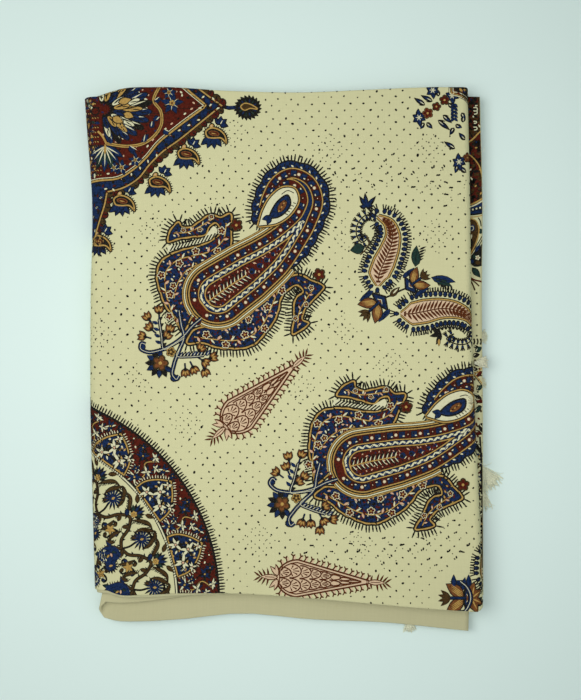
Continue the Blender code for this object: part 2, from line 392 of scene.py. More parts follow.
# A path set off to its left by a distance, which may change along it
def beside(path, distance, closed=False):
    return path + normalsOf(path, closed) * np.broadcast_to(distance, len(path))[:, None]


# Points at even spacing along a path, with the direction there in radians
def spacedAlong(path, spacing, start=0.5, closed=False):
    if closed:
        path = np.concatenate([path, path[:1]])
    lengths = lengthsAlong(path)
    count = max(int(lengths[-1] / spacing), 1)
    at = (np.arange(count) + start) * lengths[-1] / count

    def pointAt(far):
        return np.array([np.interp(far, lengths, path[:, 0]), np.interp(far, lengths, path[:, 1])])

    dx, dy = pointAt(at + 0.3) - pointAt(at - 0.3)
    return list(zip(*pointAt(at), np.arctan2(dy, dx)))


# A filled shape. One broader than this gets rows of points inside, so that its triangles stay even
innerPoints = {"from": 9.0, "apart": 4.4, "rows": 3.8}


def fill(block, ink, level, outline):
    outline = np.asarray(outline, float)
    low, high = outline.min(axis=0), outline.max(axis=0)
    if min(high - low) < innerPoints["from"]:
        corners = tessellate_polygon([[Vector((x, y, 0.0)) for x, y in outline]])
        block.append((ink, level, outline, np.array(corners, int).reshape(-1, 3)))
        return
    columns = np.arange(low[0], high[0], innerPoints["apart"])
    across, along = np.meshgrid(columns, np.arange(low[1], high[1], innerPoints["rows"]))
    across[1::2] += innerPoints["apart"] / 2
    corners = [Vector((x, y)) for x, y in outline]
    corners += [Vector((x, y)) for x, y in zip(across.ravel(), along.ravel())]
    made = delaunay_2d_cdt(corners, [], [list(range(len(outline)))], 1, 1e-4)
    points = np.array([tuple(point) for point in made[0]])
    block.append((ink, level, points, np.array(made[2], int).reshape(-1, 3)))


# A drawn line, as wide as asked, and thinner towards its ends where tapered
def line(block, ink, level, path, width, closed=False, taper=0.0):
    path = np.asarray(path, float)
    half = np.full(len(path), width / 2)
    if taper:
        t = np.linspace(0, 1, len(path))
        half = half * (1 - taper * np.abs(2 * t - 1) ** 2)
    left = beside(path, half, closed)
    right = beside(path, -half, closed)
    between(block, ink, level, left, right, closed)


# The band between two edges with as many points each
def between(block, ink, level, outer, inner, closed=True):
    count = len(outer)
    i = np.arange(count if closed else count - 1)
    j = (i + 1) % count
    triangles = np.concatenate([np.stack([i, j, i + count], 1), np.stack([j, j + count, i + count], 1)])
    block.append((ink, level, np.concatenate([outer, inner]), triangles))


# Lines one on the other, each a level higher: every ink with its width
def lines(block, level, path, *inks):
    for number, (ink, width) in enumerate(inks):
        line(block, ink, level + number, path, width)


# Filled outlines one on the other, each a level higher: every ink with how far its edge is set off
def layers(block, level, outlineAt, *inks):
    for number, (ink, distance) in enumerate(inks):
        fill(block, ink, level + number, outlineAt(distance))


# The point some millimetres away from x, y in a direction in radians
def toward(x, y, turn, reach):
    return x + reach * cos(turn), y + reach * sin(turn)


# Points of a shape moved to x, y and turned there
def placed(x, y, turn, px, py):
    return np.stack([x + px * cos(turn) - py * sin(turn), y + px * sin(turn) + py * cos(turn)], axis=1)


def oval(x, y, long, wide, turn=0.0, corners=10):
    t = np.arange(corners) * 2 * pi / corners
    return placed(x, y, turn, long * np.cos(t), wide * np.sin(t))


def spot(block, ink, level, x, y, radius, corners=7):
    fill(block, ink, level, oval(x, y, radius, radius, 0.3 * x, corners))


# A pointed leaf or petal from its foot: length, half width, and a sideways bend
def leafShape(x, y, turn, long, wide, bend=0.0, corners=6):
    t = np.linspace(0, 1, corners)
    swell = wide * np.sin(pi * t ** 0.8)
    mid = bend * np.sin(pi * t / 2) ** 2
    px = np.concatenate([t * long, (t * long)[-2:0:-1]])
    py = np.concatenate([mid + swell, (mid - swell)[-2:0:-1]])
    return placed(x, y, turn, px, py)


def leaf(block, ink, level, x, y, turn, long, wide, bend=0.0, outline="black", rim=0.35):
    if outline:
        back = toward(x, y, turn, -rim)
        fill(block, outline, level - 1, leafShape(*back, turn, long + 2 * rim, wide + rim, bend))
    fill(block, ink, level, leafShape(x, y, turn, long, wide, bend))


# A hatch stroke, as shares of its length and its width
stroke = {
    "far": np.array([0, 0.5, 1, 1, 0.5, 0]),
    "side": np.array([-0.35, -0.5, -0.25, 0.25, 0.5, 0.35]),
    "triangles": np.array([(0, 1, 4), (0, 4, 5), (1, 2, 3), (1, 3, 4)]),
}


# Short hatch strokes that stand on a path, to its left (or to its right if the length is below zero)
def hairs(block, ink, level, path, long, spacing, wide=0.75, closed=False, lean=0.0, gap=0.35):
    for number, (x, y, turn) in enumerate(spacedAlong(path, spacing, 0.5, closed)):
        up = turn + math.copysign(pi / 2, long) + lean + 0.07 * sin(number * 2.4)
        reach = abs(long) * (1 + 0.09 * sin(number * 1.7))
        shape = placed(x, y, up, gap + stroke["far"] * reach, stroke["side"] * wide)
        block.append((ink, level, shape, stroke["triangles"]))


# A flower seen from the front, with a ring of petals round its eye
def roundFlower(block, level, x, y, radius, petals, ink, eye, turn=0.0):
    for i in range(petals):
        angle = turn + 2 * pi * i / petals
        place = toward(x, y, angle, 0.62 * radius)
        fill(block, "black", level, oval(*place, 0.44 * radius + 0.3, 0.36 * radius + 0.3, angle, 8))
        fill(block, ink, level + 1, oval(*place, 0.44 * radius, 0.36 * radius, angle, 8))
    spot(block, "black", level + 2, x, y, 0.3 * radius + 0.25)
    spot(block, eye, level + 3, x, y, 0.3 * radius)


# Moves a block onto the cloth: where it goes, and its turn in degrees
def stamp(cloth, block, x=0.0, y=0.0, turn=0.0):
    for ink, level, points, triangles in block:
        cloth.append((ink, level, placed(x, y, math.radians(turn), points[:, 0], points[:, 1]), triangles))


# Cuts every triangle at the line where value is zero, and keeps the side above it
def trimmed(points, extra, triangles, valueOf):
    value = valueOf(points)
    inside = value > 0
    count = inside[triangles].sum(axis=1)
    kept = [triangles[count == 3]]
    newPoints, newExtra = [points], [extra]
    total = len(points)

    def cutBetween(a, b):
        nonlocal total
        t = (value[a] / (value[a] - value[b]))[:, None]
        newPoints.append(points[a] * (1 - t) + points[b] * t)
        newExtra.append(extra[a])
        total += len(a)
        return np.arange(total - len(a), total)

    for wanted in (1, 2):
        some = triangles[count == wanted]
        if not len(some):
            continue
        odd = inside[some] if wanted == 1 else ~inside[some]
        first = np.argmax(odd, axis=1)
        rows = np.arange(len(some))
        a, b, c = (some[rows, (first + k) % 3] for k in range(3))
        ab, ac = cutBetween(a, b), cutBetween(a, c)
        if wanted == 1:
            kept.append(np.stack([a, ab, ac], axis=1))
        else:
            kept.append(np.stack([ab, b, c], axis=1))
            kept.append(np.stack([ab, c, ac], axis=1))
    return np.concatenate(newPoints), np.concatenate(newExtra), np.concatenate(kept)


# Halves every edge that is longer than the cloth's curve allows, until none is
def refined(points, extra, triangles, longest):
    for _ in range(14):
        a, b, c = (triangles[:, k] for k in range(3))
        ends = np.stack([np.stack([a, b], 1), np.stack([b, c], 1), np.stack([c, a], 1)], axis=1)
        gap = points[ends[:, :, 0]] - points[ends[:, :, 1]]
        middle = (points[ends[:, :, 0]] + points[ends[:, :, 1]]) / 2
        over = np.hypot(gap[..., 0], gap[..., 1]) / longest(middle)
        worst = np.argmax(over, axis=1)
        rows = np.arange(len(triangles))
        split = over[rows, worst] > 1.0
        if not split.any():
            break
        some, k = triangles[split], worst[split]
        rows = np.arange(len(some))
        p, q, r = (some[rows, (k + step) % 3] for step in range(3))
        size = len(points)
        pair = np.minimum(p, q).astype(np.int64) * size + np.maximum(p, q)
        unique, index = np.unique(pair, return_inverse=True)
        mid = size + index.reshape(-1)
        low, high = unique // size, unique % size
        points = np.concatenate([points, (points[low] + points[high]) / 2])
        extra = np.concatenate([extra, extra[low]])
        triangles = np.concatenate([triangles[~split], np.stack([p, mid, r], 1), np.stack([mid, q, r], 1)])
    return points, extra, triangles


# How far across the top ply a point is, from 0 at the spine to 1 at the rolled fold
def acrossTop(s, t):
    spine, roll = spineCentre(t), rollCentre(t)
    return np.clip((s - spine) / (roll - spine), 0.0, 1.0)


# Where the printed face of the folded cloth lies. s runs across the cloth and t along it: on the top ply
# they are x and y, and past the rolled fold, the spine and the far pleat they go on round the fold
def onTopFace(s, t, lift):
    far = farY["top"](acrossTop(s, t))
    over = np.clip(t - far, 0.0, None)
    y = np.minimum(t, far)
    spine, roll = spineCentre(y), rollCentre(y)
    middle = pile["middle"]
    lift = lift * (1 - 0.8 * np.clip(((spine - s) / spineReach - 2.2) / 0.7, 0.0, 1.0))
    proud = pile["cloth"] / 2 + lift
    rollRadius, spineRadius = outerLayer + proud, wad + outerLayer + proud
    aroundRoll = np.clip((s - roll) / rollRadius, 0.0, pi)
    aroundSpine = np.clip((spine - s) / spineRadius, 0.0, pi)
    under = np.clip(spine - s - pi * spineRadius, 0.0, None)
    x = np.clip(s, spine, roll) + rollRadius * np.sin(aroundRoll)
    x = x - spineRadius * np.sin(aroundSpine) + under
    z = middle + wad + np.where(s > roll, rollRadius * np.cos(aroundRoll), outerLayer + proud)
    z = np.where(s < spine, middle + spineRadius * np.cos(aroundSpine), z)
    pleat = pitch / 2 + proud
    aroundPleat = np.clip(over / pleat, 0.0, pi)
    inward = np.where(s > roll, np.cos(aroundRoll), np.where(s < spine, np.cos(aroundSpine), 1.0))
    sideways = np.where(s > roll, np.sin(aroundRoll), np.where(s < spine, -np.sin(aroundSpine), 0.0))
    drop = pleat * (1 - np.cos(aroundPleat))
    x, z = x - drop * sideways, z - drop * inward
    y = y + pleat * np.sin(aroundPleat)
    flat = (s > spine) & (s < roll)
    rise = np.where(flat, creaseRise(x, np.minimum(y, far)), 0.0) * (aroundPleat <= 0)
    return np.stack([x, y, settled(x, y, z) + rise], axis=1)


# The large boteh block, in mm from where its stems cross. The body is a spine with its half width
botehBody = {
    "x": (8.5, 27, 51, 70, 85, 96.5, 101, 96.5, 86, 76, 68, 62.5, 60),
    "y": (18.5, 33, 49.6, 63.6, 78.9, 94.5, 109, 120, 125.5, 122, 112.5, 100, 91),
    "half": (23, 23.5, 21.4, 17.9, 13.7, 10.6, 10.2, 9.8, 8.8, 7, 5, 3, 0),
    "cap": 23.0,
}
botehWings = {
    "left": (
        (-1, 3), (-7, 14), (-14, 22), (-19, 34), (-22, 48), (-19, 59), (-11, 65), (-1, 69), (12, 72),
        (23, 77), (29, 83), (25, 90), (20, 86), (18, 81), (8, 79), (-5, 77), (-13, 75), (-13, 79),
        (-10, 86), (-4, 91), (-1, 87), (5, 87), (13, 92), (22, 97), (29, 95), (37, 98), (38, 85), (38, 74),
        (36, 62), (24, 42), (8, 18),
    ),
    "right": (
        (2, -6), (14, -6), (28, -10), (38, -10.5), (49, -10), (58, -6), (65, 2), (72, 11), (76, 21),
        (78, 30), (84, 37), (91, 40), (95, 35), (90, 31), (88, 26), (88, 14), (87, 1), (95, 5), (100, 10),
        (95, 13), (96, 19), (105, 30), (112, 39), (101, 45), (92, 49), (84, 47), (74, 38), (56, 22),
        (30, 9), (6, 3),
    ),
}


# The spine of a boteh at even steps, and its half width there
def spineWithHalf(shape, step):
    points = np.array(list(zip(shape["x"], shape["y"])), float)
    spine = throughPoints(points, step)
    return spine, np.interp(spine[:, 2], lengthsAlong(points), shape["half"])


# Both sides of one ring of the body, set in by some millimetres from its edge
def bodyRing(inset):
    spine, half = spineWithHalf(botehBody, 1.2)
    far = spine[:, 2]
    half = half - inset
    keep = (far >= inset) & (half > 0.15)
    cap = botehBody["cap"] - inset
    rounding = np.sqrt(1 - np.clip(1 - (far - inset) / max(cap, 1.0), 0, 1) ** 2)
    path, half = spine[keep, :2], (half * rounding)[keep]
    return beside(path, half), beside(path, -half)


def bodyOutline(inset):
    left, right = bodyRing(inset)
    return np.concatenate([left, right[::-1]])


# A stem with leaves and small flowers to both sides
def vine(
    block, level, points, stem="ochre", spacing=5.5, size=2.4, colours=("maroon", "cream", "pink"),
    wide=0.85,
):
    path = smoothPath(points)
    lines(block, level, path, ("black", wide + 0.6), (stem, wide))
    for number, (x, y, turn) in enumerate(spacedAlong(path, spacing)):
        side = 1 if number % 2 else -1
        angle = turn + side * (0.95 + 0.2 * sin(number * 2.1))
        tipX, tipY = toward(x, y, angle, size * 1.15)
        if number % 3 == 1:
            rose(block, level + 1, tipX, tipY, size, colours[0], colours[1], number)
        elif number % 3 == 2:
            leaf(block, colours[1], level + 2, x, y, angle, size * 1.7, 0.24 * size, 0.2)
            leaf(block, colours[0], level + 2, x, y, angle + 0.7 * side, size * 1.6, 0.26 * size, 0.2)
        else:
            leaf(block, colours[2], level + 2, x, y, angle, size * 1.5, 0.32 * size, 0.1)
            leaf(block, colours[0], level + 2, x, y, angle - 0.8 * side, size * 1.3, 0.24 * size, 0.1)


# A small rose: a pale flower with a darker one on it
def rose(block, level, x, y, radius, ink="maroon", rim="cream", turn=0.0):
    for k in range(5):
        angle = turn + k * 2 * pi / 5
        px, py = toward(x, y, angle, 0.56 * radius)
        fill(block, "black", level, oval(px, py, 0.62 * radius + 0.45, 0.5 * radius + 0.45, angle, 8))
        fill(block, rim, level + 1, oval(px, py, 0.62 * radius, 0.5 * radius, angle, 8))
        fill(block, ink, level + 2, oval(px, py, 0.42 * radius, 0.32 * radius, angle, 7))
    spot(block, "ochre", level + 3, x, y, 0.26 * radius, 7)


# A half-open flower of three petals
def tulip(block, level, x, y, turn, long):
    for spread in (-0.55, 0.55, 0.0):
        leaf(block, "brown", level + 2, x, y, turn + spread, long, 0.25 * long, 0.0, "black", 0.8)
        mx, my = toward(x, y, turn + spread, 0.25 * long)
        leaf(block, "ochre", level + 3, mx, my, turn + spread, 0.5 * long, 0.1 * long, 0, None)
    fill(block, "black", level + 3, oval(x, y, 0.2 * long, 0.26 * long, turn, 7))


# Short strokes and blots that fill a ground, all of them inside its outline
def scatter(block, level, outline, apart, choices, size=2.6):
    low, high = outline.min(axis=0), outline.max(axis=0)
    row = 0
    y = low[1]
    while y < high[1]:
        x = low[0] + (apart / 2 if row % 2 else 0)
        while x < high[0]:
            dx, dy = dice.uniform(-1, 1), dice.uniform(-1, 1)
            turn, pick = dice.uniform(0, 2 * pi), dice.random()
            px, py = x + 0.3 * apart * dx, y + 0.3 * apart * dy
            if insideOf(px, py, outline):
                ink = choices[int(pick * len(choices))]
                long = size * (0.8 + 0.35 * dx)
                fill(block, ink, level, leafShape(px, py, turn, long, 0.24 * size, 0.35 * dy, 5))
            x += apart
        y += apart * 0.86
        row += 1


def insideOf(x, y, outline):
    px, py = outline[:, 0], outline[:, 1]
    qx, qy = np.roll(px, -1), np.roll(py, -1)
    crosses = (py > y) != (qy > y)
    at = px + (y - py) * (qx - px) / np.where(qy == py, 1e-9, qy - py)
    return bool(np.sum(crosses & (x < at)) % 2)


# A band of maroon blocks with a pale dot, between pairs of dark squares
def checkerBand(block, level, left, right, spacing=9.6, deep=6.2):
    for path, sign in ((left, -1), (right, 1)):
        for number, (x, y, turn) in enumerate(spacedAlong(path, spacing / 2)):
            c, s = cos(turn + sign * pi / 2), sin(turn + sign * pi / 2)
            cx, cy = x + 0.5 * deep * c, y + 0.5 * deep * s
            if number % 2:
                fill(block, "black", level, oval(cx, cy, 4.0, 3.6, turn + 0.78, 4))
                fill(block, "blue", level + 1, oval(cx, cy, 3.1, 2.8, turn + 0.78, 4))
                fill(
                    block, "cream", level + 2,
                    oval(cx - 1.3 * s + 1.2 * c, cy + 1.3 * c + 1.2 * s, 1.0, 0.55, turn, 5),
                )
                leaf(block, "black", level + 2, cx, cy, turn + 2.2, 2.0, 0.5, 0.2, None)
            else:
                spot(block, "black", level, cx, cy, 1.9, 8)
                spot(block, ("pink", "maroon")[number // 2 % 2], level + 1, cx, cy, 1.4, 8)
                spot(block, "cream", level + 2, cx, cy, (0.9, 0.4)[number // 2 % 2], 7)
                for side in (-1, 1):
                    leaf(
                        block, "black", level, cx + 1.9 * side * c, cy + 1.9 * side * s, turn + 0.6, 1.7,
                        0.45, 0.2, None,
                    )


def wingDetail(block, outline, level):
    path = smoothPath(outline, closed=True, step=1.1)
    area = np.sum(path[:, 0] * np.roll(path[:, 1], -1) - np.roll(path[:, 0], -1) * path[:, 1])
    outward = -1.0 if area > 0 else 1.0
    scallop = 0.5 * np.abs(np.sin(np.arange(len(path)) * 0.40))
    edge = beside(path, outward * scallop, closed=True)
    hairs(
        block, "black", level, beside(path, outward * 0.9, closed=True), outward * 5.6, 2.5, closed=True,
        wide=1.4, lean=0.1,
    )
    fill(block, "black", level + 1, beside(edge, outward * 1.3, closed=True))
    fill(block, "ochre", level + 2, edge)
    inner = beside(path, -outward * 0.8, closed=True)
    fill(block, "black", level + 3, inner)
    fill(block, "blue", level + 4, beside(path, -outward * 1.7, closed=True))
    zone = beside(path, -outward * 2.2, closed=True)
    scatter(block, level + 5, zone, 2.9, ("black", "black", "black", "maroon"), 3.4)
    scatter(block, level + 6, zone, 5.4, ("cream", "maroon", "cream", "pink", "ochre"), 2.9)


def largeBoteh():
    block = []
    fill(block, "cream", 1, [(-3, 0), (18, -4), (40, 8), (30, 30), (0, 26)])
    for name in ("left", "right"):
        wingDetail(block, botehWings[name], 1)
    slot = smoothPath([
        (-13, 71), (-4, 73), (8, 76), (17, 79.5), (20.5, 84), (24, 87.5), (26.5, 85), (24, 79), (16, 75),
        (6, 72.5), (-6, 69.5), (-13, 67.5),
    ], closed=True)
    fill(block, "black", 5, beside(slot, -0.6, closed=True))
    fill(block, "cream", 6, slot)
    for number in range(14):
        x, y = -11 + 2.75 * number, 68.3 + 0.75 * number
        line(block, "black", 7, np.array([(x, y - 0.6), (x + 3.0, y + 4.6)]), 1.1)
    vine(
        block, 8,
        [(-5, 8), (-11, 22), (-15, 38), (-14, 52), (-6, 60), (8, 64), (22, 68), (31, 76), (34, 90)],
        size=3.0, spacing=5.2,
    )
    vine(block, 8, [(-8, 30), (-5, 42), (2, 52), (14, 58)], size=2.6, spacing=4.8)
    vine(
        block, 8, [(8, -1), (24, -3), (38, -4), (50, -2), (60, 5), (67, 16), (72, 28), (76, 38)], size=3.0,
        spacing=5.2,
    )
    vine(block, 8, [(30, 4), (42, 10), (54, 18), (64, 30)], size=2.6, spacing=4.8)
    vine(block, 8, [(91, 6), (92, 18), (97, 28), (104, 38)], size=2.2, spacing=4.2)
    vine(block, 8, [(-8, 82), (4, 83), (14, 88), (24, 94)], size=2.0, spacing=4.2)

    # Blue scalloped border round the head, with its fringe
    left, right = bodyRing(0.0)
    head = np.concatenate([left[-4:], right[::-1][: len(right) - 66]])
    scallop = 3.9 + 1.5 * np.abs(np.sin(np.arange(len(head)) * 0.36))
    taper = np.clip(
        (len(head) - np.arange(len(head))) / 14, 0, 1
    ) * np.clip((np.arange(len(head)) + 3) / 8, 0, 1)
    outer = beside(head, scallop * taper)
    hairs(block, "black", 1, beside(head, 4.4 * taper), 6.0, 2.5, wide=1.4, lean=-0.05)
    fill(block, "black", 2, np.concatenate([beside(outer, 1.2), head[::-1]]))
    fill(block, "blue", 3, np.concatenate([outer, head[::-1]]))
    for number, (x, y, turn) in enumerate(spacedAlong(beside(head, 2.2), 1.9)):
        leaf(
            block, ("black", "black", "black", "cream")[number % 4], 4, x, y, turn + 0.9 * (-1) ** number,
            2.9, 0.65, 0.3, None,
        )

    # Guard lines along the body, then its rings from the outside in
    for path, sign in ((left[:92], 1), (right[:68], -1)):
        line(block, "black", 13, beside(path, sign * 2.4), 5.8)
        line(block, "ochre", 14, beside(path, sign * 4.5), 0.9)
        line(block, "cream", 14, beside(path, sign * 3.1), 0.9)
        line(block, "ochre", 14, beside(path, sign * 1.6), 0.9)
    layers(block, 15, bodyOutline, ("black", -0.5), ("ochre", 0.0), ("black", 0.9), ("maroon", 1.3))
    checkerBand(block, 19, *bodyRing(1.3))
    layers(block, 22, bodyOutline, ("black", 7.4), ("ochre", 7.8), ("black", 8.6), ("blue", 9.0))
    for path in bodyRing(10.8):
        wave = np.sin(np.arange(len(path)) * 1.3) * 0.8
        line(block, "black", 26, beside(path, wave + 0.6), 1.1)
        line(block, "cream", 27, beside(path, wave), 1.5)
        for x, y, turn in spacedAlong(path, 5.3):
            line(block, "blue", 28, np.array([(x, y - 1.3), (x + 0.7, y + 1.3)]), 0.6)
    layers(block, 29, bodyOutline, ("black", 12.6), ("ochre", 13.0), ("black", 13.9), ("maroon", 14.4))
    scatter(block, 33, bodyOutline(15.2), 2.7, ("black", "black", "black", "blue", "pink"), 2.2)
    for edge in bodyRing(15.0):
        for x, y, turn in spacedAlong(edge, 3.3):
            spot(block, "black", 33, x, y, 0.6, 5)
    stem = smoothPath([(19, 27), (34, 38), (50, 48.5)])
    for number, (x, y, turn) in enumerate(spacedAlong(stem, 3.4)):
        for sign in (1, -1):
            leaf(block, "black", 33, x, y, turn + sign * 0.95, 6.4, 1.0, sign * 0.8, None)
            leaf(block, "cream", 34, x + 0.6, y, turn + sign * 0.85, 5.2, 0.4, sign * 0.8, None)
    line(block, "ochre", 35, stem, 0.9)
    for x, y, size in (
        (54.5, 51.5, 2.5), (60.5, 56.0, 2.3), (66.0, 60.5, 2.0), (71.0, 65.0, 1.6), (75.5, 69.4, 1.2)
    ):
        spot(block, "blue", 34, x, y, size, 8)
        spot(block, "black", 35, x - 0.4, y - 0.5, 0.5 * size, 6)
        leaf(block, "cream", 36, x + 0.9 * size, y - 0.8 * size, 1.2, 1.3 * size, 0.35, 0.3, None)
        leaf(block, "pink", 36, x - 1.1 * size, y + 0.6 * size, 2.4, 1.1 * size, 0.4, 0.3, None)

    # The eye of the head, a small bird in a cream drop
    eye = smoothPath(
        [
            (60, 88), (60, 88), (64, 101), (71, 112), (80, 118), (88, 117), (91, 109), (86.5, 99.5),
            (75, 90.5), (60, 88),
        ]
    )
    layers(
        block, 35, lambda off: beside(eye, off), ("black", 2.5), ("ochre", 1.8), ("black", 0.8),
        ("cream", 0.0),
    )
    bird = smoothPath(
        [(68, 94), (68, 94), (71, 101), (76, 108), (83, 112), (85, 106), (81, 99), (75, 95), (68, 94)]
    )
    layers(block, 39, lambda off: beside(bird, off), ("black", 1.0), ("blue", -0.3))
    fill(block, "black", 41, oval(78.5, 103.5, 6.0, 3.2, 1.0))
    fill(block, "brown", 42, oval(78.5, 103.5, 5.4, 2.6, 1.0))
    for number in range(6):
        x, y = 76 + 1.0 * number, 99.5 + 1.6 * number
        fill(block, ("ochre", "black")[number % 2], 43, oval(x, y, 1.0, 0.6, 1.0, 4))
    for turn in (3.4, 4.3):
        leaf(block, "blue", 41, 69, 95, turn, 6.5, 1.7, 0.3, "black", 0.7)
    line(block, "black", 39, smoothPath([(78, 113), (83, 116.0), (88, 114)]), 0.7)
    for number in range(5):
        x, y = 81 + 1.6 * number, 97.5 + 2.2 * number
        line(block, "black", 39, np.array([(x, y), (x + 2.2, y - 0.8)]), 0.7)

    # Stems below, crossing, with curled ends
    stems = (
        (
            [(14, 14), (6, 7), (0, 0), (-9, -7), (-20, -12), (-30, -13), (-35, -10), (-34, -6), (-31, -7)],
            2.2,
        ),
        ([(-4, 20), (-2, 8), (0, 0), (-4, -12), (-8, -23), (-9, -32), (-6, -35), (-4, -32)], 2.4),
        ([(0, -2), (-8, -7), (-16, -11), (-18, 0), (-20, 13)], 1.3),
        ([(-3, -9), (-6, -16), (4, -17), (16, -16)], 1.3),
    )
    for points, wide in stems:
        path = smoothPath(points)
        lines(block, 44, path, ("black", wide + 1.3), ("blue", wide), ("cream", 0.4))
    for x, y, outer, inner in ((-33.5, -9, 2.9, 2.1), (-8, -34, 3.2, 2.3)):
        spot(block, "black", 44, x, y, outer, 10)
        spot(block, "blue", 45, x, y, inner, 10)
    for turn in (0.45, 0.8, 1.25):
        leaf(block, "maroon", 42, *toward(6, 7, turn, 4), turn, 5.0, 1.2, 0.3)
    buds = (
        (-20, 18, 1.6), (-28, 13, 2.2), (-26, 5, 2.4), (-31, -1, 2.9), (-12, 3, 1.3), (-15, -2, 0.9),
        (1, -27, -1.5), (7, -25, -1.1), (16, -27, -1.2), (21, -18, 0.3), (12, -12, 0.9), (15, -20, -0.6),
    )
    for x, y, turn in buds:
        foot = np.array([toward(x, y, turn, -5), (x, y)])
        lines(block, 41, foot, ("black", 1.4), ("blue", 0.6))
        tulip(block, 42, x, y, turn, 6.4)
    for turn in np.linspace(1.6, 5.6, 9):
        x, y = toward(-19, -22, turn, 5.0)
        leaf(block, ("black", "blue")[int(turn * 2) % 2], 42, x, y, turn, 6.8, 1.7, 0.3, "black", 0.7)
    rose(block, 44, -19, -22, 5.6, "brown", "umber")
    rose(block, 44, -10.5, -13, 3.4, "umber", "ochre")
    for number in range(9):
        leaf(
            block, ("blue", "black")[number % 2], 42, -4 + 2.7 * number, -18 + 0.2 * number, 0.95, 6.2, 1.4,
            0.3, None,
        )
        leaf(block, "cream", 44, -3.2 + 2.7 * number, -17 + 0.2 * number, 0.95, 3.4, 0.3, 0.2, None)
        leaf(
            block, ("black", "blue")[number % 2], 41, -18 - 0.4 * number, -9 + 2.6 * number,
            0.6 + 2.0 * (number % 2), 5.4, 1.4, 0.4, None,
        )
    for x, y, turn in ((40, 86, 0.9), (107, 46, 1.2)):
        line(block, "black", 41, np.array([toward(x, y, turn, -3), (x, y)]), 2.2)
        rose(block, 43, *toward(x, y, turn, 3), 4.4, "maroon", "umber", 0.7)
    return block


# A cypress in one red-brown ink: fans in rows inside a double line, a leafy fringe and a spire
tree = {"long": 74.0, "wide": 14.8, "rows": 8}


# The bud at either end of the tree, with short strokes round its tip
def treeBud(block, x, turn, long):
    leaf(block, "blush", 3, x, 0, turn, long, 1.7, 0, "rust", 0.9)
    ends = [(x + share * long * cos(turn), 0) for share in (0.15, 0.75)]
    line(block, "rust", 4, np.array(ends), 0.6)
    for sign in (1, -1):
        for number in range(4):
            foot = x + (0.5 + 0.17 * number) * long * cos(turn)
            angle = turn + sign * (1.2 - 0.26 * number)
            leaf(block, "rust", 1, foot, 0, angle, 7.8 - 0.3 * number, 0.8, sign * 0.9, None)


def cypress():
    block = []
    long, wide = tree["long"], tree["wide"]
    t = np.linspace(0, 1, 60)
    foot = np.sqrt(1 - (1 - np.clip(t / 0.24, 0, 1)) ** 2)
    half = wide * foot * (1 - 0.93 * np.clip((t - 0.22) / 0.78, 0, 1)) + 0.15
    upper = np.stack([t * long, half], axis=1)

    def bandOutline(inset, start, stop):
        keep = (upper[:, 0] > start) & (upper[:, 0] < stop)
        side = np.stack([upper[keep, 0], np.maximum(upper[keep, 1] - inset, 0.2)], axis=1)
        return np.concatenate([side, (side * (1, -1))[::-1]])

    fill(block, "blush", 0, bandOutline(0.0, -1, long + 1))
    line(block, "rust", 2, bandOutline(0.0, -1, long + 1), 1.3, closed=True)
    line(block, "rust", 2, bandOutline(2.3, 1.6, long - 6), 1.0, closed=True)
    step = (long - 10) / tree["rows"]
    for row in range(tree["rows"]):
        x = 2.6 + row * step
        limit = np.interp(x + 0.5 * step, upper[:, 0], upper[:, 1]) - 3.0
        places = (0.5, -0.5) if limit > 2.6 else (0.0,)
        size = 0.5 * limit if limit > 2.6 else max(limit, 1.0)
        for place in places:
            y = place * limit
            arc = [(x + 1.12 * step * cos(a), y + 0.98 * size * sin(a)) for a in np.linspace(-1.6, 1.6, 11)]
            line(block, "rust", 3, np.array(arc), 1.1)
            for a in np.linspace(-1.25, 1.25, 5 if size > 2.4 else 2):
                c, s = cos(a), sin(a)
                foot = np.array((x + 0.3 * step * c, y + 0.22 * size * s))
                tip = np.array((x + 0.92 * step * c, y + 0.78 * size * s))
                side = 0.62 * np.array((-s, c))
                fill(
                    block, "rust", 3,
                    np.stack([foot - 0.3 * side, tip - side, tip + side, foot + 0.3 * side]),
                )
    for sign in (1, -1):
        for number, (x, y, turn) in enumerate(spacedAlong(upper[2:] * (1, sign), 4.5)):
            out = turn + sign * (1.25 + 0.12 * sin(number * 1.9))
            bend = toward(x, y, out, 3.4)
            tip = bend[0] + 2.6 * cos(out + sign * 0.9), bend[1] + 2.6 * sin(out + sign * 0.9)
            leaf(block, "blush", 0, x, y, out - sign * 0.5, 4.6, 1.2, 0, None)
            line(block, "rust", 1, smoothPath([(x, y), bend, tip]), 1.15, taper=0.3)
            leaf(block, "rust", 1, *bend, out - sign * 0.7, 2.4, 0.7, 0, None)
    treeBud(block, 0.5, pi, 13.0)
    treeBud(block, long - 0.5, 0.0, 13.0)
    for sign in (1, -1):
        for angle, reach in ((1.2, 8.6), (0.72, 9.2)):
            leaf(block, "rust", 4, 1.5, sign * 1.5, pi - sign * angle, reach + 1.2, 2.1, -sign * 0.8, None)
            leaf(block, "blush", 5, 0.9, sign * 1.9, pi - sign * angle, reach - 0.6, 1.1, -sign * 0.8, None)
        for foot, reach in ((-2, 6.4), (1, 6.0)):
            leaf(block, "rust", 1, long + foot, 0, sign * 1.1, reach, 0.8, sign * 0.9, None)
    return block


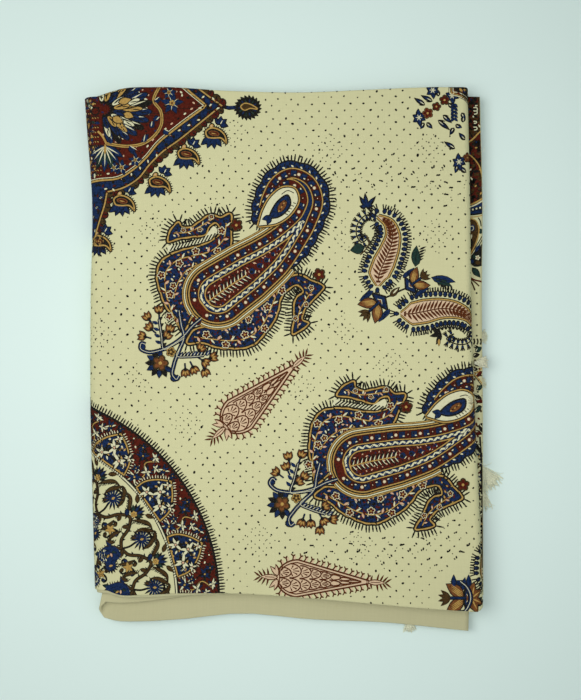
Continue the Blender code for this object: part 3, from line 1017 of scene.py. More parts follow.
# A small boteh of herringbone, from a spine with its half width, inside a fringe like flames
smallBotehs = {
    "upright": {
        "x": (75, 76, 80, 85, 87, 84, 75), "y": (51, 60, 70, 82, 92, 101, 107),
        "half": (0, 7, 7.6, 6.2, 4.6, 3.0, 0.3),
        "curl": ((75, 107), (66, 108), (59, 101), (58, 92), (62, 86), (68, 90)),
    },
    "lying": {
        "x": (93, 102, 113, 125, 137, 146, 152), "y": (29, 29, 31, 33, 32, 28, 20),
        "half": (0, 7.6, 8.2, 6.8, 5.4, 3.6, 0.3),
        "curl": ((152, 20), (152, 10), (146, 5), (137, 5), (130, 9), (136, 13)),
    },
}


def smallBoteh(shape):
    block = []
    spine, half = spineWithHalf(shape, 1.0)
    path = spine[:, :2]

    def drop(grow):
        wide = np.maximum(half + grow, 0.1)
        return np.concatenate([beside(path, wide), beside(path, -wide)[::-1]])

    curl = smoothPath(shape["curl"])
    rim = drop(1.9)
    for base, sign, closed in ((rim, 1, True), (curl, 1, False), (curl, -1, False)):
        for number, (x, y, turn) in enumerate(spacedAlong(base, 3.7, closed=closed)):
            up = turn + sign * pi / 2
            c, s = cos(up), sin(up)
            scale = 1.0 if closed else 0.6
            for spread in (-0.3, 0.0, 0.3):
                foot = (x + 1.0 * c, y + 1.0 * s)
                tip = toward(x, y, up + spread, scale * 8.6)
                line(block, "black", 1, np.array([foot, tip]), 1.0)
            fill(
                block, "black", 1,
                oval(x + 3.3 * scale * c, y + 3.3 * scale * s, 2.6 * scale, 1.9 * scale, up, 7),
            )
            fill(
                block, "blue", 2,
                oval(x + 3.3 * scale * c, y + 3.3 * scale * s, 1.7 * scale, 1.15 * scale, up, 6),
            )
    line(block, "black", 2, curl, 1.0)
    layers(block, 3, drop, ("black", 2.1), ("ochre", 1.4), ("black", 0.3), ("blush", -0.2))
    count = len(path)
    line(block, "rust", 8, path[4:-4], 1.0)
    for k in range(3, count - 4, 3):
        along = math.atan2(*(path[k + 1] - path[k - 1])[::-1])
        share = np.clip((k / count - 0.5) / 0.35, 0, 1)
        for sign in (1, -1):
            reach = max(half[k] * 1.2 - 0.3, 0.3)
            leaf(
                block, "rust", 8, path[k, 0], path[k, 1], along + sign * 0.95, reach, 0.95 + 0.2 * share, 0,
                None,
            )
            if share > 0:
                leaf(
                    block, "brown", 7, path[k, 0], path[k, 1], along + sign * 0.95, reach,
                    0.7 + 1.3 * share, 0, None,
                )
    return block


# A lily-like flower with striped petals, on a blue calyx, and its leaves
def lily(block, level, x, y, turn, size=1.0):
    c, s = cos(turn), sin(turn)

    def at(forward, left):
        return x + size * (forward * c - left * s), y + size * (forward * s + left * c)

    calyx = [at(-3, 0), at(3, 9.5), at(5, 4), at(5, -4), at(3, -9.5)]
    fill(block, "black", level, calyx)
    fill(block, "blue", level + 1, [at(-1.5, 0), at(2.8, 7.0), at(3.8, 3), at(3.8, -3), at(2.8, -7.0)])
    fill(block, "cream", level + 2, [at(1, 0), at(3, 2.8), at(3, -2.8)])
    fill(block, "brown", level + 3, [at(1.5, 0), at(3, 2.2), at(3, -2.2)])
    for side in (-1, 1):
        foot = at(5, side * 1.5)
        leaf(
            block, "brown", level + 3, *foot, turn + side * 0.55, 12.5 * size, 3.4 * size, 0.8 * side,
            "black", 0.9,
        )
        for stripe in (-1.6, -0.5, 0.6, 1.7):
            px, py = foot[0] - size * stripe * s, foot[1] + size * stripe * c
            leaf(
                block, "ochre", level + 4, px, py, turn + side * 0.55, 9.5 * size, 0.36 * size, 0.6 * side,
                None,
            )
    lines(block, level + 5, np.array([at(3, 0), at(13, 0)]), ("black", 2.2 * size), ("blue", 1.2 * size))
    for spread in (-0.7, -0.25, 0.25, 0.7):
        leaf(block, "umber", level + 5, *at(13, 0), turn + spread, 7.5 * size, 1.1 * size, 0, "black", 0.5)
    for side, reach in ((1, 9.5), (-1, 9.5), (1, 12.0), (-1, 12.0)):
        leaf(
            block, "blue", level + 1, *at(reach - 8, side * 8.5), turn + side * 0.3, 9 * size, 1.6 * size,
            -1.4 * side, "black", 0.5,
        )


def serratedLeaf(block, level, x, y, turn, long, wide, ink="green"):
    leaf(block, ink, level, x, y, turn, long, wide, 0.16 * long, "black", 0.6)
    for number in range(5):
        t = 0.25 + 0.15 * number
        px, py = toward(x, y, turn, long * t)
        leaf(block, "black", level - 1, px, py, turn - 1.0, wide * 1.9, 0.8, 0.3, None)
    leaf(block, "black", level + 1, x, y, turn, long * 0.85, 0.3, 0.13 * long, None)


def rightSpray():
    block = []
    for shape in smallBotehs.values():
        block += smallBoteh(shape)
    lily(block, 8, 99, 50, 0.62, 1.0)
    lily(block, 8, 79, 41, -2.4, 1.15)
    serratedLeaf(block, 8, 105, 67, 1.35, 16, 3.4)
    serratedLeaf(block, 8, 118, 58, -0.35, 19, 3.0, "blue")
    serratedLeaf(block, 8, 121, 57, -0.6, 14, 2.2)
    leaf(block, "umber", 8, 85, 43, 0.75, 10, 2.0, 0.2, "black", 0.7)
    leaf(block, "cream", 10, 87, 45, 0.75, 6, 0.6, 0.2, None)
    line(block, "black", 6, smoothPath([(79, 41), (86, 44), (92, 47), (99, 50)]), 1.4)
    # A blue flower over the upright one, a green bud at its curl, and a dark bud under the lying one
    for turn, long in ((2.1, 11), (1.65, 12), (0.85, 12), (2.9, 6), (0.2, 6)):
        leaf(block, "black", 5, 66, 114, turn, long, 2.0, 0.3, None)
        leaf(block, "blue", 6, 66, 114.6, turn, long * 0.72, 1.1, 0.3, None)
    line(block, "black", 4, smoothPath([(66, 114), (70, 110), (74, 107)]), 1.0)
    leaf(block, "green", 6, 64, 82, 3.3, 11, 4.0, 0.5, "black", 0.6)
    line(block, "umber", 5, smoothPath([(66, 92), (68, 86), (65, 80), (61, 76)]), 0.9)
    for turn in (2.6, 3.3, 4.2):
        leaf(block, "black", 5, 126, 13, turn, 10, 2.0, 0.4, None)
    leaf(block, "ochre", 7, 124, 9, -1.6, 6, 1.0)
    return block


# The round medallion: a fringe, a maroon band of blue panels, and a cream field of arabesques
medallion = {"radius": 166.0, "field": 133.0, "panels": 18, "first": 15.0}


def circle(radius, steps=220):
    turns = np.linspace(0, 2 * pi, steps, endpoint=False)
    return np.stack([radius * np.cos(turns), radius * np.sin(turns)], axis=1)


def polar(points):
    return [(r * cos(math.radians(a)), r * sin(math.radians(a))) for r, a in points]


def featherLeaf(block, level, points, long=3.0):
    path = smoothPath(points)
    wide = 1.5 * np.sin(np.linspace(0, pi, len(path))) + 0.3
    shape = np.concatenate([beside(path, wide), beside(path, -wide)[::-1]])
    fill(block, "black", level, shape)
    fill(
        block, "umber", level + 1,
        np.concatenate([beside(path, wide - 0.6), beside(path, 0.6 - wide)[::-1]]),
    )
    hairs(block, "black", level, path, long, 1.5, 0.8, lean=-0.6)


# A flower of pointed petals, with leaves of other colours between them
def starFlower(block, level, x, y, reach, petals, ink, between, eye, turn=0.0):
    for k in range(petals):
        angle = turn + 2 * pi * k / petals
        leaf(
            block, between, level, x, y, angle + pi / petals, reach * 1.1, 0.14 * reach, 0.2 * reach,
            "black", 0.6,
        )
    for k in range(petals):
        angle = turn + 2 * pi * (k + 0.22 * sin(3 * k + x)) / petals
        long = reach * (0.95 + 0.25 * sin(2 * k + y))
        leaf(
            block, ink, level + 2, x, y, angle, long, 0.17 * reach, 0.22 * reach * sin(k + x), "black", 0.6
        )
    spot(block, "black", level + 3, x, y, 0.24 * reach, 8)
    spot(block, eye, level + 4, x, y, 0.15 * reach, 8)


# One eighteenth of the medallion's band
def medallionBand():
    part = []
    field = medallion["field"]
    panel = smoothPath(polar([
        (field + 1.5, -7.0), (field + 1.5, -7.0), (field + 11, -5.8), (field + 20, -2.2), (field + 26, 1.6),
        (field + 26, 1.6), (field + 18, 4.6), (field + 8, 6.8), (field + 1.5, 7.0), (field + 1.5, 7.0),
    ]), closed=True, step=1.5)
    hairs(part, "cream", 6, panel, -3.2, 2.0, 0.8, closed=True)
    hairs(part, "black", 7, panel, -2.6, 2.0, 0.8, closed=True, lean=0.4)
    edges = ("black", -1.3), ("ochre", -0.6), ("black", 0.5), ("blue", 1.2)
    layers(part, 8, lambda off: beside(panel, off, closed=True), *edges)
    scatter(
        part, 12, beside(panel, 2.2, closed=True), 2.8,
        ("black", "black", "cream", "black", "black", "ochre"), 3.2,
    )
    for angle, r, turn, reach in (
        (-2.7, field + 7.5, 2.2, 6.5), (1.0, field + 14, 0.4, 6.5), (3.6, field + 5.5, -1.0, 6.0),
        (1.2, field + 22, 0.0, 4.0), (-4.6, field + 14, 1.0, 3.6),
    ):
        x, y = polar([(r, angle)])[0]
        starFlower(part, 13, x, y, reach, 5, "cream", "black", "pink", turn)
    # Flowers and leaves on the maroon between two panels
    stem = polar([(field + 4, 9.4), (field + 12, 8.2), (field + 20, 10.6), (field + 28, 8.4)])
    lines(part, 6, smoothPath(stem), ("black", 1.6), ("ochre", 0.8))
    places = (
        (10.0, field + 6, 5.4), (8.4, field + 16, 4.6), (12.6, field + 23, 5.0), (5.4, field + 27, 4.4),
        (9.6, field + 28.5, 4.0), (14.2, field + 28, 3.6), (11.6, field + 12, 3.4), (7.4, field + 23, 3.6),
        (2.6, field + 29.5, 3.0),
    )
    for number, (angle, r, reach) in enumerate(places):
        x, y = polar([(r, angle)])[0]
        eye = ("ochre", "cream", "ochre")[number % 3]
        starFlower(
            part, 8, x, y, reach, (5, 4)[number % 2], ("blue", "cream", "blue")[number % 3],
            ("cream", "blue", "black")[number % 3], eye, r,
        )
    zone = np.array(
        polar(
            [
                (field + 3, 7.6), (field + 10, 6.8), (field + 20, 4.6), (field + 27, 1.8), (field + 30, -2),
                (field + 31, 18), (field + 26, 19), (field + 18, 16), (field + 8, 13), (field + 3, 12),
            ]
        )
    )
    scatter(part, 6, zone, 3.4, ("black", "black", "cream", "black"), 2.8)
    return part


# One eighteenth of its field: a zigzag stem, rosettes, tufts, stars with curls, drops and feathered leaves
def medallionField():
    part = []
    zigzag = smoothPath(
        polar([(97, -10), (100, -6.5), (110, -3.5), (115.5, 0), (110, 3.5), (100, 6.5), (97, 10)]),
        step=0.8,
    )
    lines(part, 5, zigzag, ("black", 2.9), ("umber", 1.5))
    for number, (x, y, turn) in enumerate(spacedAlong(zigzag, 4.2)):
        leaf(part, "black", 5, x, y, turn + (1.2, -1.2)[number % 2], 3.6, 0.7, 0.3, None)
    for r, angle, reach in ((115.0, 10.0, 8.4), (84.0, 4.0, 5.8)):
        rx, ry = polar([(r, angle)])[0]
        for k in range(15):
            turn = k * 2 * pi / 15
            leaf(part, "black", 8, *toward(rx, ry, turn, 0.3 * reach), turn, 0.85 * reach, 0.9, 0.2, None)
            leaf(part, "blue", 9, *toward(rx, ry, turn, 0.3 * reach), turn, 0.5 * reach, 0.7, 0, None)
        roundFlower(part, 10, rx, ry, 0.42 * reach, 7, "blue", "ochre", 0.3)
        leaf(part, "ochre", 14, rx - 1.5, ry, 0, 3.4, 0.9, 0, None)
    line(part, "black", 5, smoothPath(polar([(97, 10), (104, 9.4), (110, 10)])), 1.6)
    x, y = polar([(119.5, 0.0)])[0]
    for spread in np.linspace(-1.35, 1.35, 9):
        leaf(
            part, ("black", "blue", "green")[int(abs(spread) * 5) % 3], 8, x, y, spread,
            10 - 2.2 * abs(spread), 1.2, 0.3, "black", 0.5,
        )
    roundFlower(part, 10, 119.5, 0, 2.6, 6, "ochre", "ochre")
    fill(part, "black", 9, oval(116, 4.5, 3.2, 2.1, 0.9))
    fill(part, "blue", 10, oval(116, 4.5, 2.4, 1.3, 0.9))
    for side in (-1, 1):
        featherLeaf(
            part, 7,
            polar([(115.5, 1.5 * side), (121, 3.6 * side), (125.5, 6.0 * side), (126, 8.6 * side)]),
            3.2 * side,
        )
        featherLeaf(
            part, 7, polar([(128, 9.8 * side), (124, 8.4 * side), (118, 6.6 * side), (112, 6.2 * side)]),
            -2.8 * side,
        )
        featherLeaf(part, 7, polar([(104, 3.0 * side), (98, 2.4 * side), (90, 3.4 * side)]), 2.6 * side)
        leaf(
            part, "umber", 8, *polar([(127, 2.6 * side)])[0], 0.9 * side, 7.5, 1.5, 0.3 * side, "black",
            0.5,
        )
        leaf(
            part, "umber", 8, *polar([(106, 1.6 * side)])[0], 0.5 * side, 6.5, 1.4, 0.3 * side, "black",
            0.5,
        )
        leaf(part, "black", 8, *polar([(122, 8.4 * side)])[0], 1.4 * side, 5.0, 1.0, 0.3 * side, None)
    for r, angle in ((97.0, 0.6), (74, 1.5), (50, 8.0)):
        x, y = polar([(r, angle)])[0]
        for curl in range(4):
            turn = 0.7 + curl * pi / 2
            c, s = cos(turn), sin(turn)
            hook = smoothPath([
                (x, y), (x + 4 * c - 1 * s, y + 4 * s + c), (x + 7 * c + 1.5 * s, y + 7 * s - 1.5 * c),
                (x + 6 * c + 4 * s, y + 6 * s - 4 * c), (x + 4.6 * c + 3 * s, y + 4.6 * s - 3 * c),
            ])
            line(part, "black", 7, hook, 1.5)
            fill(part, "black", 7, oval(x + 5 * c + 3 * s, y + 5 * s - 3 * c, 2.2, 1.7, turn, 8))
            fill(
                part, "blue" if curl % 2 else "umber", 8,
                oval(x + 5 * c + 3 * s, y + 5 * s - 3 * c, 1.5, 1.0, turn, 8),
            )
        for point in range(5):
            leaf(part, "ochre", 10, x, y, 0.3 + point * 2 * pi / 5, 4.4, 1.1, 0, "black", 0.4)
    for r, angle, long in ((87, 10.0, 17.0), (64, 0.0, 14.0)):
        x, y = polar([(r, angle)])[0]
        turn = math.radians(angle) + pi * 0.85
        shape = leafShape(*toward(x, y, turn + pi, 7), turn, long, long * 0.3, 1.5, 10)
        hairs(part, "black", 7, shape, 3.4, 1.8, 0.9, closed=True)
        edges = ("black", -1), ("umber", -0.4), ("black", 0.4), ("cream", 1.1), ("black", 1.5), ("blue", 2)
        layers(part, 8, lambda off: beside(shape, off, closed=True), *edges)
        for k in range(4):
            leaf(
                part, ("green", "ochre", "pink")[k % 3], 15, x - 2 + 1.3 * k, y - 1 + k * 0.8, turn + k,
                3.4, 0.8, 0, "black", 0.4,
            )
    for r, angle, turn, long in (
        (122, 7.4, 1.1, 8.5), (107, 12.4, 0.2, 8.0), (119, 13.6, -0.6, 7.0), (92, 6.5, 0.9, 8.0),
        (89, 17.0, -0.4, 7.5),
    ):
        x, y = polar([(r, angle)])[0]
        tip = toward(x, y, turn, long)
        featherLeaf(part, 7, [(x, y), (0.5 * (x + tip[0]) + 0.8, 0.5 * (y + tip[1]) - 0.8), tip], 2.4)
    stem = smoothPath(polar([(97, 10), (88, 14), (78, 12), (70, 6), (60, 3), (48, 8), (36, 2), (20, 6)]))
    lines(part, 6, stem, ("black", 2.2), ("umber", 1.1))
    for number, (x, y, turn) in enumerate(spacedAlong(stem, 5.5)):
        leaf(
            part, ("umber", "blue", "black", "green")[number % 4], 8, x, y, turn + (0.9, -0.9)[number % 2],
            6.2, 1.3, 0.5, "black", 0.5,
        )
    return part


def roundMedallion():
    block = []
    radius, field = medallion["radius"], medallion["field"]
    hairs(block, "black", 1, circle(radius, 400), -4.8, 2.4, closed=True, wide=1.4)
    between(block, "black", 1, circle(radius + 0.9), circle(field))
    between(block, "maroon", 2, circle(radius - 0.9), circle(field + 1.0))
    for number, (x, y, turn) in enumerate(spacedAlong(circle(radius - 1.4, 300), 3.4, closed=True)):
        leaf(block, "black", 3, x, y, turn + 0.5 * sin(number * 1.9), 3.2, 0.7, 0.3, None)
    line(block, "black", 3, circle(field + 0.6), 1.6, closed=True)
    line(block, "cream", 4, circle(field - 0.7), 1.2, closed=True)
    line(block, "black", 5, circle(field - 1.7), 0.8, closed=True)
    parts = medallionBand() + medallionField()
    for k in range(medallion["panels"]):
        stamp(block, parts, turn=medallion["first"] + 360 * k / medallion["panels"])
    return block


# The corner piece: a maroon field, a blue guard band with lobes outside it, and small pendants
cornerPiece = {
    "field": (
        (-210, 137), (-147, 137), (-132, 139), (-122, 145), (-111, 155), (-102, 166), (-89, 177),
        (-64, 195.5), (-64, 195.5), (-79, 208), (-92, 220),
    ),
    "band": (
        (-152, 90), (-147, 104), (-143, 116), (-141, 126), (-141, 126), (-129, 129), (-116, 137),
        (-107, 148), (-98, 157), (-83, 168), (-67, 181), (-49, 195.5), (-49, 195.5), (-66, 208), (-80, 219),
    ),
    "pendants": ((-54.5, 173), (-76.5, 156.5), (-99.5, 134), (-128, 119), (-147, 87)),
}


def pendant(block, x, y):
    tail = smoothPath([
        (x - 8.5, y + 2), (x - 4, y + 5), (x + 3, y + 3.5), (x + 8, y - 2), (x + 8.5, y - 8),
        (x + 4, y - 4), (x - 2, y - 4), (x - 7, y - 3),
    ], closed=True, step=0.8)
    hairs(block, "black", 2, tail, 1.9, 1.7, 0.8, closed=True)
    layers(
        block, 3, lambda off: beside(tail, off, closed=True), ("black", 1.0), ("ochre", 0.0),
        ("black", -1.1),
    )
    fill(block, "brown", 6, oval(x - 1.5, y + 0.3, 4.6, 2.2, -0.2, 12))
    fill(block, "maroon", 7, oval(x - 1.2, y + 0.3, 3.4, 1.4, -0.2, 10))
    leaf(block, "ochre", 8, x - 4, y + 0.6, -0.2, 5.0, 0.4, 0, None)
    for spread in (-2.5, -2.0, -1.5, -1.0):
        leaf(block, "blue", 3, x - 3 + 2.6 * (spread + 1.75), y - 3, spread, 8.6, 1.8, 0.6, "black", 1.0)
    for turn in (-0.3, 0.6, 1.4, 2.2):
        leaf(block, "blue", 3, x + 3.5, y + 7.5, turn, 6.0, 1.6, 0.4, "black", 1.0)
    leaf(block, "cream", 5, x + 3.5, y + 7.5, 1.0, 4.0, 0.4, 0.2, None)
    fill(block, "black", 3, oval(x - 3.5, y + 6, 2.9, 2.3, 0.9, 9))
    fill(block, "ochre", 4, oval(x - 3.5, y + 6, 2.0, 1.5, 0.9, 8))
    spot(block, "pink", 5, x - 3.5, y + 6.3, 0.8)


def cornerMedallion():
    block = []
    inner = smoothPath(cornerPiece["field"])
    outer = smoothPath(cornerPiece["band"])
    far = [(-120, 226), (-240, 226), (-240, 90)]
    for number, (x, y, turn) in enumerate(spacedAlong(outer, 5.6)):
        size = 3.3 + 0.9 * sin(number * 2.1)
        px, py = x + 1.0 * sin(turn), y - 1.0 * cos(turn)
        fill(block, "black", 0, oval(px, py, size + 0.5, 4.3, turn, 10))
        fill(block, ("umber", "maroon")[number % 2], 1, oval(px, py, size - 0.3, 3.4, turn, 10))
        leaf(block, "black", 2, px, py, turn - 1.4, 3.6, 0.6, 0.4, None)
    fill(block, "black", 2, np.concatenate([beside(outer, -0.5), far]))
    fill(block, "blue", 3, np.concatenate([outer, far]))
    line(block, "ochre", 5, beside(outer, 0.6), 1.1)
    line(block, "black", 5, beside(outer, 1.8), 1.1)
    for number, (x, y, turn) in enumerate(spacedAlong(beside(outer, 6.0), 8.6)):
        for k in range(5):
            px = x + (1.6 * k - 3.2) * 0.2 * cos(turn) - (1.8 * k - 3.6) * sin(turn)
            py = y + (1.6 * k - 3.2) * 0.2 * sin(turn) + (1.8 * k - 3.6) * cos(turn)
            ink = ("cream", "maroon", "black", "black", "maroon")[(k + number) % 5]
            leaf(block, "black", 5, px, py, turn + 1.1 * k + number, 3.6, 1.3, 0.3, None)
            leaf(block, ink, 6, px, py, turn + 1.1 * k + number, 2.8, 0.7, 0.3, None)
    # The field and its double line
    edges = ("black", -2.8), ("ochre", -2.0), ("black", -0.7), ("black", 0.0), ("maroon", 0.6)
    layers(block, 8, lambda off: np.concatenate([beside(inner, off), far[1:2]]), *edges)
    line(block, "cream", 13, beside(inner, 0.3), 0.55)
    for number, (x, y, turn) in enumerate(spacedAlong(beside(inner, 3.6), 6.5)):
        fill(block, ("black", "cream", "pink")[number % 3], 13, oval(x, y, 1.3, 0.7, turn, 7))
    stem = [
        (-99, 212), (-104, 199), (-98.6, 191), (-98, 181), (-104, 171), (-113, 165), (-124, 163),
        (-142, 165),
    ]
    lines(block, 13, smoothPath(stem), ("black", 3.2), ("ochre", 2.3), ("umber", 0.5))
    line(block, "ochre", 14, smoothPath([(-142, 165), (-146, 172), (-149, 175)]), 1.6)
    for x, y, turn, long in (
        (-107, 178, 0.9, 6), (-113, 166, 0.9, 8), (-124, 163, -1.0, 9), (-104, 199, 0.2, 6),
        (-100, 186, 3.4, 5), (-96, 176, -1.0, 5),
    ):
        leaf(block, "blue", 15, x, y, turn, long, 2.0, 0.6, "black", 0.6)
        leaf(block, "cream", 16, x + 0.6, y + 0.6, turn + 0.35, long * 0.8, 0.4, 0.5, None)
    # A palmette that opens to the right: long blue petals behind, then cream, then ochre
    rows = (
        (15, 40.0, 12.0, 2.8, ("blue", "black", "blue"), "cream"),
        (12, 32.0, 9.0, 2.0, ("cream", "blue", "ochre"), "black"),
        (9, 22.0, 5.0, 2.0, ("blue", "ochre", "cream"), "black"),
    )
    for row, (count, reach, start, wide, colours, vein) in enumerate(rows):
        for k in range(count):
            angle = -1.5 + 3.2 * k / (count - 1)
            long = (reach - start) * (1 - 0.3 * abs(angle) / 1.6)
            x, y = -145 + start * cos(angle), 192.5 + start * 0.7 * sin(angle)
            heading = angle * 0.9 + 0.08
            bx, by = toward(x, y, heading, 0.62 * long)
            fill(block, "black", 14 + 3 * row, oval(bx, by, 0.42 * long, wide + 0.7, heading, 12))
            leaf(block, "black", 14 + 3 * row, x, y, heading, long * 0.9, wide + 0.3, 0, None)
            fill(block, colours[k % 3], 15 + 3 * row, oval(bx, by, 0.38 * long, wide, heading, 12))
            leaf(
                block, vein, 16 + 3 * row, *toward(bx, by, heading, -0.3 * long), heading + 0.12,
                long * 0.55, 0.6, 0.3, None,
            )
            leaf(block, "black", 16 + 3 * row, bx, by, heading - 0.2, long * 0.34, 0.45, 0.3, None)
    for x, y, turn, long in ((-137, 186, -0.5, 9), (-132, 198, 0.2, 10), (-128, 189, -0.4, 8)):
        leaf(block, "ochre", 24, x, y, turn, long, 2.6, 0.4, "black", 0.9)
    spot(block, "black", 24, -151, 191, 3.8, 9)
    spot(block, "maroon", 25, -151, 191, 2.8, 9)
    # A spray that hangs from the vine's end, and small flowers
    for angle in np.linspace(-2.7, -0.6, 7):
        leaf(
            block, ("green", "blue", "blue")[int(-angle * 3) % 3], 15, -143, 163, angle,
            21 - 4 * abs(angle + 1.7), 2.9, 0.8, "black", 0.9,
        )
        leaf(block, "cream", 17, -143, 163, angle, 17 - 4 * abs(angle + 1.7), 0.5, 0.8, None)
    leaf(block, "ochre", 18, -143, 165, -1.6, 9, 1.0)
    for x, y, size in (
        (-89.5, 197.5, 3.4), (-92, 206, 2.2), (-130, 146, 2.4), (-119, 152, 2.0), (-136, 146, 1.8)
    ):
        for turn in (0.1, 1.4, 2.9, -1.2, -2.2):
            leaf(block, "blue", 15, x, y, turn, 2.7 * size, 0.6 * size, 0.2, "black", 0.5)
            leaf(block, "cream", 16, x, y, turn + 0.5, 1.8 * size, 0.25, 0.2, None)
        roundFlower(block, 17, x, y, size * 0.7, 5, "ochre", "brown")
    leftEdge = np.array([(-190, 128), (-149, 139), (-150, 160), (-152, 184), (-150, 205), (-190, 205)])
    scatter(block, 16, leftEdge, 3.4, ("black", "black", "blue", "green"), 5.0)
    scatter(block, 17, leftEdge, 5.6, ("cream", "ochre", "blue", "ochre", "cream"), 4.2)
    scatter(
        block, 13,
        np.array([(-145, 140), (-120, 150), (-104, 170), (-100, 195), (-70, 197), (-92, 214), (-150, 210)]),
        6.5, ("black", "cream", "pink", "blue", "black"), 3.0,
    )
    for x, y in cornerPiece["pendants"]:
        pendant(block, x, y)
    # A dark bud with a fringe, beyond the point
    for k in range(20):
        angle = 2 * pi * k / 20
        x, y = -29 + 6.4 * cos(angle), 193.8 + 5.4 * sin(angle)
        leaf(block, "black", 2, x, y, angle + 0.4, 5.4, 1.5, 0.6, None)
    fill(block, "black", 3, oval(-29, 193.8, 8.6, 7.0, 0.1, 16))
    for k in range(14):
        angle = 2 * pi * k / 14
        leaf(
            block, ("green", "blue")[k % 2], 4, -29 + 4.6 * cos(angle), 193.8 + 3.8 * sin(angle), angle,
            3.4, 0.6, 0.2, None,
        )
    inside = smoothPath(
        [(-34.5, 194.5), (-32, 197), (-27, 196.4), (-21.5, 192.8), (-27, 193.4), (-32, 192)], closed=True,
        step=0.7,
    )
    fill(block, "ochre", 5, beside(inside, 0.6, closed=True))
    fill(block, "umber", 6, beside(inside, -0.3, closed=True))
    line(block, "black", 1, np.array([(-50, 195), (-44, 193.5), (-38, 194)]), 3.2)
    line(block, "blue", 2, np.array([(-46, 194), (-38, 194)]), 2.0)
    return block


# Sprays at the two right corners, and the edge of another medallion at the far one
def farRightSpray():
    block = []
    for x, y, turn, long in (
        (113, 196, 2.5, 11), (119, 199, 2.6, 11), (127, 188, -0.8, 10), (123, 184, -0.75, 13),
        (137, 161, 2.5, 11), (145, 168, 2.2, 8), (112, 182, -2.2, 6), (114, 182, -0.9, 7),
        (146, 142, 2.4, 9), (136, 178, -2.2, 7), (137, 180, -0.5, 6), (142, 190, -1.2, 7),
        (131, 197, -0.6, 8), (124, 203, 1.8, 7), (143, 182, 1.3, 8), (139, 148, -2.0, 7),
    ):
        leaf(block, "black", 1, x, y, turn, long, 2.0, 0.7, None)
        leaf(block, "black", 1, x, y, turn + 0.5, long * 0.5, 0.8, 0.5, None)
        leaf(block, "blue", 2, *toward(x, y, turn, 2), turn, long * 0.6, 0.9, 0.5, None)
        leaf(block, "cream", 3, *toward(x, y, turn, 1), turn, long * 0.4, 0.35, 0.3, None)
    for x, y, size in (
        (115, 189.5, 3.7), (122, 194.8, 3.0), (128.5, 200, 3.5), (147.4, 154, 3.4), (136, 206, 2.8)
    ):
        rose(block, 4, x, y, size, "maroon", ("umber", "brown")[int(x) % 2], x)
    for x, y in ((108, 186), (119, 208), (140, 150.5), (134.5, 203.5)):
        for k in range(6):
            leaf(block, "blue", 5, x, y, 0.5 + k * 1.05, 5.6 + sin(2 * k), 1.5, 0.8, "black", 0.9)
            leaf(block, "cream", 7, x, y, 0.9 + k * 1.05, 2.8, 0.4, 0.3, None)
    for k in range(5):
        for side in (-1, 1):
            leaf(block, "blue", 5, 136, 197 - 2.8 * k, -1.57 + side * 0.75, 4.0, 0.9, 0.3, "black", 0.4)
    edge = smoothPath([(132, 216), (133, 204), (140, 202), (148, 197), (153, 190), (164, 182)])
    fill(block, "black", 6, np.concatenate([beside(edge, 0.0), [(172, 182), (172, 220), (132, 220)]]))
    for off, ink, wide in ((0.8, "cream", 0.7), (2.0, "ochre", 0.8), (3.6, "cream", 0.6)):
        line(block, ink, 7, beside(edge, off), wide)
    zone = np.array([(136, 205), (146, 203), (158, 195), (170, 190), (170, 216), (136, 216)])
    scatter(block, 8, zone, 3.6, ("maroon", "blue", "ochre", "maroon", "green"), 4.0)
    return block


def nearRightSpray():
    block = []
    lily(block, 8, 150, -198.5, pi, 1.3)
    arc = smoothPath([(141, -185), (146.5, -190), (149.4, -198), (147, -206), (142, -212)])
    line(block, "black", 15, arc, 4.4, taper=0.6)
    line(block, "blue", 16, arc, 2.6, taper=0.7)
    line(block, "cream", 17, arc, 0.5)
    for turn, long in ((1.25, 13), (0.55, 11), (-0.55, 11), (-1.2, 13)):
        leaf(block, "brown", 12, 149, -198.5, turn, long, 3.0, 1.0, "black", 1.0)
        leaf(block, "ochre", 14, 150, -198.5, turn, long * 0.8, 0.6, 0.8, None)
    for x, y, turn in ((136, -190, 1.5), (143, -192, 1.3), (148, -190, 1.5)):
        leaf(block, "blue", 12, x, y, turn, 10, 1.8, 0.9, "black", 0.6)
    serratedLeaf(block, 8, 152, -205, 0.6, 10, 2.4)
    shape = {
        "x": (166, 166, 168, 172), "y": (-190, -180, -168, -158), "half": (0, 7, 8, 2),
        "curl": ((172, -158), (178, -154), (184, -158)),
    }
    return block + smallBoteh(shape)


# The ground: staggered dots a little out of line, finer dots in diamonds, and a doubled misprint
dots = {"apart": 10.4, "radius": 0.78, "fine": 3.1, "fineRadius": 0.5, "diamond": 14.0}
diamonds = (
    (37, 160), (117, 163), (121, 92), (49, 92), (49, 18), (86, -12), (-147, 12), (-115, -20), (-77, -60),
    (-55, 108), (-43, 176), (-20, -152), (62, -150), (122, -136), (-104, 96), (12, -30), (-230, 60),
    (-300, -20), (-270, 130),
)


